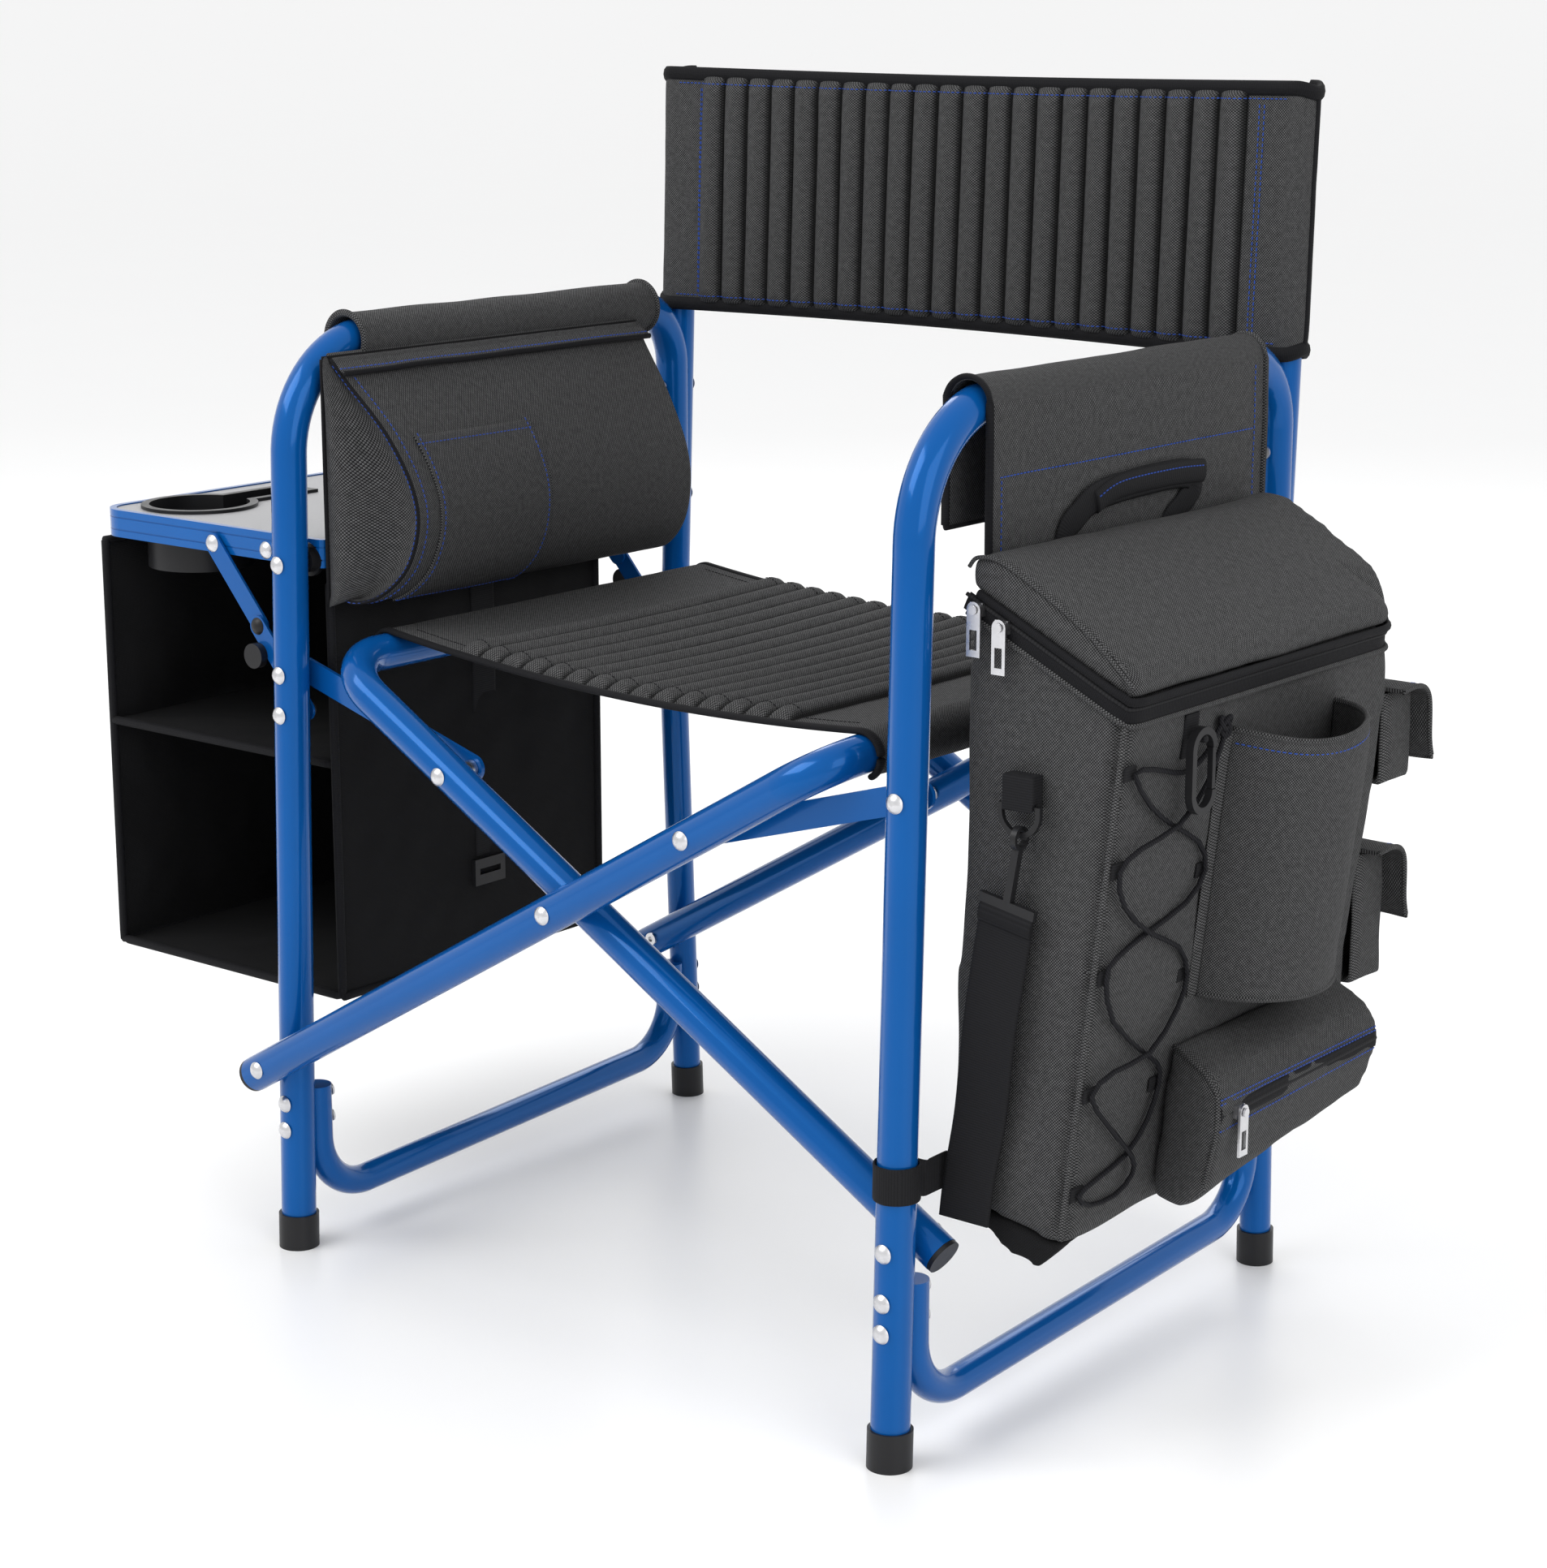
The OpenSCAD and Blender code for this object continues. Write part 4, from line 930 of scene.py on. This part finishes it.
organizer_panel("shelf", (ox0 + WALL, oy0, SHELF_Z), (width - 2 * WALL, 0, 0), (0, depth - WALL, 0),
                (0, 0, 1), 50, 1.4 * MM, 25, sag=7 * MM)
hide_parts("organizer")
front_loop = [(ox0 + 1 * MM, oy0, oz1), (ox0 + 1 * MM, oy0, oz0 + 2 * MM), (ox1 - 1 * MM, oy0, oz0 + 2 * MM),
              (ox1 - 1 * MM, oy0, oz1)]
for tag, route in (("front", front_loop),
                   ("shelf", [(ox0 + 2 * MM, oy0, SHELF_Z + 1 * MM), (ox1 - 2 * MM, oy0, SHELF_Z + 1 * MM)]),
                   ("inner_low", [(ox1, oy0, oz0 + 2 * MM), (ox1, oy1, oz0 + 2 * MM), (ox1, oy1, oz1)]),
                   ("outer_low", [(ox0, oy0, oz0 + 2 * MM), (ox0, oy1, oz0 + 2 * MM), (ox0, oy1, oz1)]),
                   ("top", [(ox0, oy0, oz1), (ox0, oy1, oz1), (ox1, oy1, oz1), (ox1, oy0, oz1)])):
    pts = [p for p, _ in walk(route, 6 * MM)]
    bead("organizer_tape_" + tag, pts, 3.2 * MM, 3.2 * MM, "tape", "organizer", up=(0.3, 0.9, 0.2))

# ---------------------------------------------------------------- right arm cover

flap_lo_z, flap_in_z = FLAP_LO.z, 577 * MM


def cover_route():
    """Cross-section of the cover, from its inner edge over the arm to its outer edge."""
    r = TUBE_R + 1.6 * MM
    pts = []
    for i in range(14):
        pts.append(((LEG_R - r - 0.4 * MM * (1 - i / 13), lerp(flap_in_z, ARM_Z, i / 14)), (-1, 0)))
    for i in range(25):
        a = math.pi * (1 - i / 24)
        pts.append(((LEG_R + r * math.cos(a), ARM_Z + r * math.sin(a)), (math.cos(a), math.sin(a))))
    for i in range(1, 20):
        pts.append(((LEG_R + r + 0.6 * MM * i / 19, lerp(ARM_Z, flap_lo_z, i / 19)), (1, 0)))
    return pts


cover_path = cover_route()
COVER_Y0, COVER_Y1 = FLAP_LO.y - 30 * MM, FLAP_HI.y + 12 * MM


def cover_point(u, v, side):
    x, z, nx, nz = path_at(cover_path, u)
    y = lerp(COVER_Y0, COVER_Y1, v)
    t = -0.8 * MM
    if side > 0:
        t = 1.2 * MM + 1.0 * MM * ripple((x, y, z), 18, 31) + 0.1 * MM * ripple((x, y, z), 60, 32)
    return (x + nx * t, y, z + nz * t)


cover = slab("arm_cover", 90, 110, cover_point, 1, -1, "padded_fabric", (0.24, COVER_Y1 - COVER_Y0))
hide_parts("bag_flap")
dress(cover, "right_side", "padded_fabric")
for tag, v in (("front", 0.0), ("rear", 1.0)):
    cloth = "tape" if tag == "front" else "padded_fabric"
    bead("cover_tape_" + tag, edge_route(cover_point, v, 60), 3.0 * MM, 1.8 * MM, cloth, "right_side",
         up=(0, 0.2, 1))
for tag, u in (("inner", 0.0), ("outer", 1.0)):
    route = [cover_point(u, v, 1) for v in steps(60)]
    bead("cover_tape_" + tag, route, 2.0 * MM, 3.4 * MM, "tape", "right_side")


def on_cover(y_share, z):
    """Point on the outer hanging side of the cover."""
    share = (ARM_Z - z) / (ARM_Z - flap_lo_z)
    return Vector(cover_point((39 + 19 * share - 1) / (len(cover_path) - 1), y_share,
                              1)) + Vector((0.3 * MM, 0, 0))


low_row, high_row = flap_lo_z + 8 * MM, flap_lo_z + 58 * MM
rows = [[on_cover(0.04 + 0.92 * i / 80, z) for i in range(81)] for z in (low_row, high_row)]
rows.append([on_cover(0.04, z) for z in steps(30, low_row, high_row)])
rows.append([on_cover(0.96, z) for z in steps(50, low_row, ARM_Z - 2 * MM)])
sewn("cover_stitches", rows, (1, 0, 0), "right_side")

# ---------------------------------------------------------------- bag

BODY_BACK_LOW = 286 * MM  # the bag's own numbers, from the part: x of its lower back edge
SHIFT = BAG_LO.x - BODY_BACK_LOW


def bx(mm):
    """The bag's x in the frame, from millimetres in the part."""
    return SHIFT + mm * MM


def outline(*points):
    """Points in the bag's x and z, from its x in millimetres in the part and z in metres."""
    return [(bx(x), z) for x, z in points]


def face_x(z):
    """X of the bag's sloping face at a height."""
    return bx(373) + 39 * MM * (z - 0.150) / 0.341


def rounded(corners, r, count=5):
    """Closed outline with its corners rounded by short arcs."""
    out = []
    n = len(corners)
    for i in range(n):
        p, a, b = Vector(corners[i]), Vector(corners[i - 1]), Vector(corners[(i + 1) % n])
        da, db = (a - p).normalized(), (b - p).normalized()
        s, e = p + da * min(r, (a - p).length / 2), p + db * min(r, (b - p).length / 2)
        for t in steps(count):
            out.append(tuple(s * (1 - t) ** 2 + p * 2 * t * (1 - t) + e * t * t))
    return out


def cloth_copy(node, voxel, material, group, slot, rounds=1, wrinkle=0.25 * MM, seed=70):
    """Soft piece built over a small CAD piece: fine even faces, eased edges, woven UVs."""
    src = frame["nodes"][node].data
    obj = make(node + "_cloth", [v.co for v in src.vertices], [tuple(p.vertices) for p in src.polygons],
               [(0, 0)] * len(src.vertices), material)
    rebuilt(obj, voxel, rounds)
    for v in obj.data.vertices:
        v.co += Vector(v.normal) * (wrinkle * ripple(v.co, 60, seed))
    shade_smooth(obj)
    box_uv(obj)
    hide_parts(node)
    return dress(obj, group, slot)


FRONT_R, REAR_R = 14 * MM, 36 * MM


def plan_corner(p, x_edge, y0, y1):
    """Rounds the bag's outer corners as seen from above: small in front, wide at the rear."""
    p = Vector(p)
    rear = lerp(10 * MM, REAR_R, clamp((p.z - 0.445) / (40 * MM)))
    for y_edge, way, r in ((y0, -1, FRONT_R), (y1, 1, rear)):
        a, b = (p.x - x_edge + r) / r, (p.y - y_edge) * way / r + 1
        if a > 0 and b > 0:
            k = max(a, b) / math.hypot(a, b)
            p.x, p.y = x_edge - r + a * k * r, y_edge + (b * k - 1) * r * way
    return p


def round_plan(obj, edge, y0, y1):
    for v in obj.data.vertices:
        v.co = plan_corner(v.co, edge(v.co.z), y0, y1)


body_outline = outline((286.5, 0.169), (373, 0.152), (411.5, 0.4905), (298.5, 0.5445))
bag = prism("bag_cloth", rounded(body_outline, 5 * MM), BAG_LO.y + 2.5 * MM, BAG_HI.y - 0.5 * MM,
            "bag_fabric")
soften(bag, 6 * MM, 2, 3.6 * MM, 9, 41, pressure=2.0)
hollow = prism("bag_hollow", outline((293, 0.178), (366, 0.162), (407, 0.520), (304, 0.580)),
               BAG_LO.y + 7 * MM, BAG_HI.y - 7 * MM, "bag_fabric")
mod = bag.modifiers.new("hollow", "BOOLEAN")
mod.operation = "DIFFERENCE"
mod.object = hollow
mod.solver = "EXACT"
baked(bag)
bpy.data.objects.remove(hollow)
round_plan(bag, face_x, BAG_LO.y, BAG_HI.y)
for v in bag.data.vertices:
    v.co.y = max(v.co.y, BAG_LO.y + 0.3 * MM)
box_uv(bag)
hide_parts("bag_body")
dress(bag, "right_side", "bag_fabric")

# Black base sheet under the bag, lowest at its front corner.
base_outline = outline((292, 0.165), (308, 0.156), (331, 0.140), (355, 0.134), (371, 0.150), (340, 0.158))
base = prism("bag_base", base_outline, BAG_LO.y + 3 * MM, BAG_LO.y + 100 * MM, "plain_fabric")
for v in base.data.vertices:
    v.co.z += 0.17 * (v.co.y - BAG_LO.y)
soften(base, 4 * MM, 2, 1.5 * MM, 24, 42, pressure=0)
dress(base, "right_side", "bag_fabric")

lid_outline = outline((299.3, 0.5472), (299.3, 0.5615), (306, 0.5665), (322, 0.5655), (350, 0.5515),
                      (385, 0.5295), (408, 0.5115), (415.5, 0.5025), (415.5, 0.4912), (412, 0.4926))
lid = prism("lid_cloth", lid_outline, LID_LO.y + 0.3 * MM, LID_HI.y - 0.3 * MM, "bag_fabric")
soften(lid, 4.5 * MM, 2, 1.5 * MM, 16, 43, pressure=1.2)
round_plan(lid, lambda z: bx(415.5), LID_LO.y, LID_HI.y)
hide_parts("bag_lid")
dress(lid, "lid", "bag_fabric")


def mouth(x0, x1, y0, y1, drop):
    """Route round the bag's sloping mouth: front side, face and rear side."""
    def edge(x):
        return 0.546 - (x - 298) * MM * 55 / 114 - drop
    corners = [(bx(x0), y0, edge(x0)), (bx(x1), y0, edge(x1)), (bx(x1), y1, edge(x1)), (bx(x0), y1, edge(x0))]
    out = []
    for a, b in zip(corners[:-1], corners[1:]):
        out += [plan_corner(Vector(a).lerp(Vector(b), i / 160), bx(x1), y0, y1) for i in range(160)]
    return out + [Vector(corners[-1])]


def spaced(route, step=3 * MM):
    return [p for p, _ in walk(route, step)]


def bag_mouth(x1, out, drop, step=3 * MM):
    """Route round the bag's mouth, out from its sides and drop below its edge."""
    return spaced(mouth(299, x1, BAG_LO.y - out, BAG_HI.y + out, drop), step)


band = sweep("zip_band", bag_mouth(412.6, 0.7 * MM, 5.5 * MM), 0.9 * MM, 6.0 * MM, "tape")
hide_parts("bag_zip_band")
dress(band, "right_side", "webbing")
teeth_route = bag_mouth(413.4, 1.2 * MM, 1.6 * MM, 2 * MM)
bead("zip_teeth", teeth_route, 1.4 * MM, 1.3 * MM, "zip_coil", "right_side", sides=8)
piped("zip_seam", bag_mouth(412.6, 0.8 * MM, 12.5 * MM), 1.6 * MM, 1.8 * MM)
piping_route = spaced(mouth(307, 415.4, LID_LO.y - 0.2 * MM, LID_HI.y + 0.2 * MM, -3.4 * MM))
bead("lid_piping", piping_route, 1.9 * MM, 2.6 * MM, "tape", "lid")
ridge_points = outline((306, 0.567), (322, 0.566), (350, 0.552), (385, 0.530), (415, 0.503))
ridge = curve([(bx(299.5), LID_LO.y, 0.561)] + [(x, LID_LO.y - 0.3 * MM, z) for x, z in ridge_points], 8)
piped("lid_seam", [p + Vector((0, 1.2 * MM, -1.2 * MM)) for p in ridge], 1.3 * MM, 1.3 * MM, "lid")
line = [(face_x(z) - 1.6 * MM, BAG_LO.y + 1.4 * MM, z) for z in steps(60, 0.158, 0.478)]
piped("bag_seam", line, 1.7 * MM, 1.7 * MM, up=(1, 0, 0))

# Lower pouch: its front leans towards the sitter's front and its bottom rises to the rear.
low_outline = [(face_x(0.160) + 0.6 * MM, 0.160)]
low_outline += outline((402, 0.159), (421, 0.175), (430.6, 0.215), (430.6, 0.240), (419, 0.2515))
low_outline += [(face_x(0.264) + 0.6 * MM, 0.2635)]
LOW_OUT = bx(431) - face_x(0.21)


def lean_pouch(p):
    out = clamp((p.x - face_x(p.z)) / LOW_OUT)
    rise = clamp((0.235 - p.z) / (75 * MM)) * 24 * MM
    return Vector((p.x, p.y - 12 * MM * out, p.z + rise * (p.y - LOW_LO.y) / (LOW_HI.y - LOW_LO.y)))


low = prism("pouch_low_cloth", rounded(low_outline, 4 * MM, 3), LOW_LO.y + 1 * MM, LOW_HI.y - 1 * MM,
            "bag_fabric")
soften(low, 5 * MM, 2, 1.5 * MM, 22, 45, pressure=1.5)
for v in low.data.vertices:
    v.co = lean_pouch(v.co)
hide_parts("lower_pouch")
dress(low, "right_side", "bag_fabric")
ZIP_Z = 0.226


def on_pouch_front(z, lift):
    """Route across the lower pouch's front."""
    across = steps(60, LOW_LO.y + 4 * MM, LOW_HI.y - 4 * MM)
    return [lean_pouch(Vector((bx(430.6) + lift, y, z))) for y in across]


bead("pouch_zip_tape", on_pouch_front(ZIP_Z, 0.2 * MM), 0.7 * MM, 6.0 * MM, "tape", "right_side")
bead("pouch_zip_teeth", on_pouch_front(ZIP_Z, 0.5 * MM), 0.9 * MM, 1.4 * MM, "zip_coil", "right_side",
     sides=8)
rows = [on_pouch_front(z, 0.9 * MM) for z in (ZIP_Z + 8 * MM, ZIP_Z + 11 * MM, ZIP_Z - 9 * MM)]
sewn("pouch_low_stitches", rows, (1, 0, 0), "right_side")
seam_points = rounded(low_outline, 6 * MM, 4)[14:-4]  # the part that stands clear of the bag
side = [lean_pouch(Vector((x, LOW_LO.y + 2 * MM, z))) - Vector((1 * MM, 0, 0)) for x, z in seam_points]
piped("pouch_low_seam", side, 1.3 * MM, 1.3 * MM, up=(0, 1, 0))

# Bottle pocket: an open half-round shell that leans with the bag's face.
SINK = 14 * MM
bottle_y = (BOTTLE_LO.y + BOTTLE_HI.y) / 2
bottle_r = math.hypot((BOTTLE_HI.y - BOTTLE_LO.y) / 2, SINK)
bottle_turn = math.acos((SINK + 1.5 * MM) / bottle_r)
BOTTLE_FOOT = BOTTLE_LO.z + 5 * MM


def bottle_point(u, v, inset):
    a = lerp(-bottle_turn, bottle_turn, u)
    top = BOTTLE_HI.z - 6 * MM * math.cos(a) ** 2 + 2 * MM * math.sin(3 * a)
    z = lerp(BOTTLE_FOOT - 5 * MM * math.cos(a), top, v)
    r = bottle_r - inset - 2.0 * MM * clamp((v - 0.9) / 0.1)
    if inset == 0:
        r += 1.2 * MM * ripple((a * 0.1, z, 0.2), 22, 51) * clamp(4 * min(u, 1 - u))
    x = face_x(z) - SINK + r * math.cos(a)
    return (x, bottle_y + r * math.sin(a), z)


bottle = slab("bottle_cloth", 110, 60, bottle_point, 0.0, 2.2 * MM, "bag_fabric",
              (0.19, BOTTLE_HI.z - BOTTLE_LO.z))
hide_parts("bottle_pocket")
dress(bottle, "right_side", "bag_fabric")
piped("bottle_hem", [bottle_point(u, 1.0, 1.0 * MM) for u in steps(80)], 1.8 * MM, 2.2 * MM)
piped("bottle_foot", [bottle_point(u, 0.0, 0.8 * MM) for u in steps(80)], 1.8 * MM, 2.0 * MM)


def away_from_bottle(p):
    return Vector((p.x - (face_x(p.z) - SINK), p.y - bottle_y, 0))


rows = [[bottle_point(i / 80, 0.955, -0.3 * MM) for i in range(2, 79)]]
sewn("bottle_stitches", rows, away_from_bottle, "right_side")
for tag, u, out in (("front", 0.0, -5 * MM), ("rear", 1.0, 5 * MM)):
    line = [bottle_point(u, v, 0) for v in steps(50)]
    line = [(face_x(z) + 1.5 * MM, y + out, z) for _, y, z in line]
    piped("bottle_flange_" + tag, line, 6.0 * MM, 1.1 * MM, up=(1, 0, 0))


def bottle_floor(u, v, t):
    p = Vector(bottle_point(u, 0.0, 1.0 * MM))
    back_x = face_x(BOTTLE_FOOT) + 1.5 * MM
    return (lerp(back_x, p.x, v), p.y, lerp(BOTTLE_FOOT, p.z, v) + t)


floor_piece = slab("bottle_floor", 60, 8, bottle_floor, 2.5 * MM, 0.3 * MM, "bag_fabric", (0.15, 0.05))
dress(floor_piece, "right_side", "bag_fabric")

# Side pockets' flaps.
for tag, node, body in (("high", "side_flap_upper", "flap_high"), ("low", "side_flap_lower", "flap_low")):
    lo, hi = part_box(node)
    profile = curve([(lo.y, hi.z - 1.5 * MM), (lerp(lo.y, hi.y, 0.5), hi.z - 0.5 * MM),
                     (hi.y - 7 * MM, hi.z - 4 * MM), (hi.y - 1.0 * MM, hi.z - 14 * MM),
                     (hi.y + 1.0 * MM, lo.z - 14 * MM), (hi.y + 5.0 * MM, lo.z - 27 * MM)], 8)

    def flap_point(u, v, t, profile=profile, lo=lo, hi=hi):
        p = along(profile, v)
        d = (along(profile, v + 0.02) - along(profile, v - 0.02)).normalized()
        lift = t + 2.5 * MM * ripple((u * 0.1, v * 0.05, lo.z), 22, 71) * v
        return (lerp(lo.x, hi.x, u), p.x - d[1] * lift, p[1] + d.x * lift)

    piece = slab("flap_cloth_" + tag, 40, 30, flap_point, 1.3 * MM, -1.2 * MM, "bag_fabric",
                 (hi.x - lo.x, 0.088))
    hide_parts(node)
    dress(piece, body, "bag_fabric")
    edge = [flap_point(0, t, 0) for t in steps(20)]
    edge += [flap_point(t, 1, 0) for t in steps(20)[1:]]
    edge += [flap_point(1, 1 - t, 0) for t in steps(20)[1:]]
    piped("flap_tape_" + tag, edge, 1.8 * MM, 1.8 * MM, body, up=(0.2, 0.5, 0.8))
    rows = [[flap_point(u, 0.25 + 0.7 * i / 20, 1.4 * MM) for i in range(21)] for u in (0.06, 0.94)]
    rows.append([flap_point(0.06 + 0.88 * i / 40, 0.9, 1.4 * MM) for i in range(41)])
    sewn("flap_stitches_" + tag, rows, (0.2, 0.7, 0.7), body)

pockets = cloth_copy("side_pockets", 2.4 * MM, "bag_fabric", "right_side", "bag_fabric", 2, 0.8 * MM, 72)
for v in pockets.data.vertices:
    v.co.y -= 7 * MM * clamp((BAG_HI.y + 6 * MM - v.co.y) / (5 * MM))
cloth_copy("leg_loop", 1.2 * MM, "webbing", "right_side", "webbing")
cloth_copy("webbing_tabs", 1.1 * MM, "webbing_up", "right_side", "webbing")

# Carrying handle: a flat webbing loop with a padded grip, standing against the arm's cover.
HANDLE_X = bx(295.4)
STRAP_POINTS = ((0, -0.087, 0.508), (0, -0.087, 0.560), (1, -0.072, 0.576), (1.5, -0.050, 0.585),
                (1.5, 0.0, 0.588), (1.5, 0.050, 0.587), (1, 0.060, 0.578), (0, 0.046, 0.566),
                (0, 0.030, 0.552), (0, 0.028, 0.508))
GRIP_POINTS = ((2, -0.056, 0.581), (2.2, -0.030, 0.588), (2.2, 0.030, 0.589), (2, 0.068, 0.587))


def handle_line(points, count):
    """Smooth line through points given as millimetres out from the handle's plane, y and z."""
    return curve([(HANDLE_X + out * MM, y, z) for out, y, z in points], count)


strap_line = handle_line(STRAP_POINTS, 10)
handle = sweep("handle_webbing", strap_line, 9.5 * MM, 1.1 * MM, "webbing", up=(1, 0, 0))
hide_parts("bag_handle")
dress(handle, "right_side", "webbing")
grip_line = handle_line(GRIP_POINTS, 16)
bead("handle_grip", grip_line, 7.6 * MM, 3.0 * MM, "webbing", "right_side", up=(1, 0, 0), sides=16)
rows = [[p + Vector((2.8 * MM, 0, 3.6 * MM)) for p in grip_line[2:-2]]]
sewn("handle_stitches", rows, (1, 0, 0), "right_side")


def flat_strap(name, node, corners, thick, group, wave, seed):
    """Webbing between two edges: corners are top left, top right, low left and low right."""
    tl, tr, ll, lr = [Vector(c) for c in corners]
    face = (tr - tl).cross(ll - tl).normalized()

    def place(u, v, t):
        p = tl.lerp(tr, u).lerp(ll.lerp(lr, u), v)
        bend = math.sin(9 * v + 2) + 0.6 * ripple((u * 0.02, v * 0.3, 0.1), 22, seed)
        return p + face * (wave * bend * clamp(6 * min(v, 1 - v)) + t)

    size = ((tr - tl).length, (ll - tl).length)
    piece = slab(name, 16, 120, place, thick / 2, -thick / 2, "webbing_up", size)
    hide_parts(node)
    return dress(piece, group, "webbing")


strap_lo, strap_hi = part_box("shoulder_strap")
strap_y = (strap_lo.y + strap_hi.y) / 2
lean = math.radians(10)
ring_at = Vector((bx(344), strap_y, 0.4046))


STRAP_HALF = 19 * MM
STRAP_TOP = -46.4 * MM


def by_hook(across, up):
    """Place across and up from the strap's ring, in the strap's leaning direction."""
    x = across * math.cos(lean) + up * math.sin(lean)
    z = up * math.cos(lean) - across * math.sin(lean)
    return ring_at + Vector((x, 0, z))


strap_corners = (by_hook(-STRAP_HALF, STRAP_TOP), by_hook(STRAP_HALF, STRAP_TOP), (bx(290), strap_y, 0.158),
                 (bx(326), strap_y, 0.158))
flat_strap("strap_cloth", "shoulder_strap", strap_corners, 2.0 * MM, "right_side", 1.6 * MM, 81)
hem_at = by_hook(0, -47.5 * MM)
across_strap = by_hook(STRAP_HALF, 0) - by_hook(-STRAP_HALF, 0)
hem = [hem_at + across_strap * (t - 0.5) + Vector((0, -1.5 * MM, -4 * MM)) for t in steps(20)]
bead("strap_hem", hem, 1.6 * MM, 6.0 * MM, "webbing_up", "right_side")
org_lo, org_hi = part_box("organizer_strap")
org_x = (org_lo.x + org_hi.x) / 2
org_corners = [(org_x, y, z) for z in (org_hi.z, org_lo.z) for y in (org_lo.y, org_hi.y)]
flat_strap("organizer_strap_cloth", "organizer_strap", org_corners, 1.4 * MM, "organizer", 0.4 * MM, 82)

# Knot at the bungee's ends.
CORD_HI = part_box("bungee_cord")[1]
knot_at = Vector((CORD_HI.x - 2 * MM, -87 * MM, CORD_HI.z - 1 * MM))
knot = []
for i in range(60):
    a = 2 * math.pi * i / 60
    knot.append(knot_at + 2.2 * MM * Vector((-0.5 * math.sin(3 * a), math.sin(a) + 2 * math.sin(2 * a),
                                             math.cos(a) - 2 * math.cos(2 * a))))
knot_piece = sweep("bungee_knot", knot, 1.7 * MM, 1.7 * MM, "bungee", up=(1, 0, 0), sides=8, closed=True)
dress(knot_piece, "right_side", "bungee")

# ---------------------------------------------------------------- end

FLOOR_HALF = 400
floor = bpy.data.meshes.new("floor")
floor_corners = [(x * FLOOR_HALF, y * FLOOR_HALF, 0) for x, y in ((-1, -1), (1, -1), (1, 1), (-1, 1))]
floor.from_pydata(floor_corners, [], [(0, 1, 2, 3)])
floor_obj = bpy.data.objects.new("floor", floor)
scene.collection.objects.link(floor_obj)
ground = Nodes("ground").set(Roughness=0.32)
ground.link(ground.mix(ground.noise(object_coords(ground), 3.0), (0.93, 0.93, 0.935), (0.945, 0.945, 0.945)),
            ground.bsdf.inputs["Base Color"])
floor.materials.append(ground.mat)

bpy.context.view_layer.update()
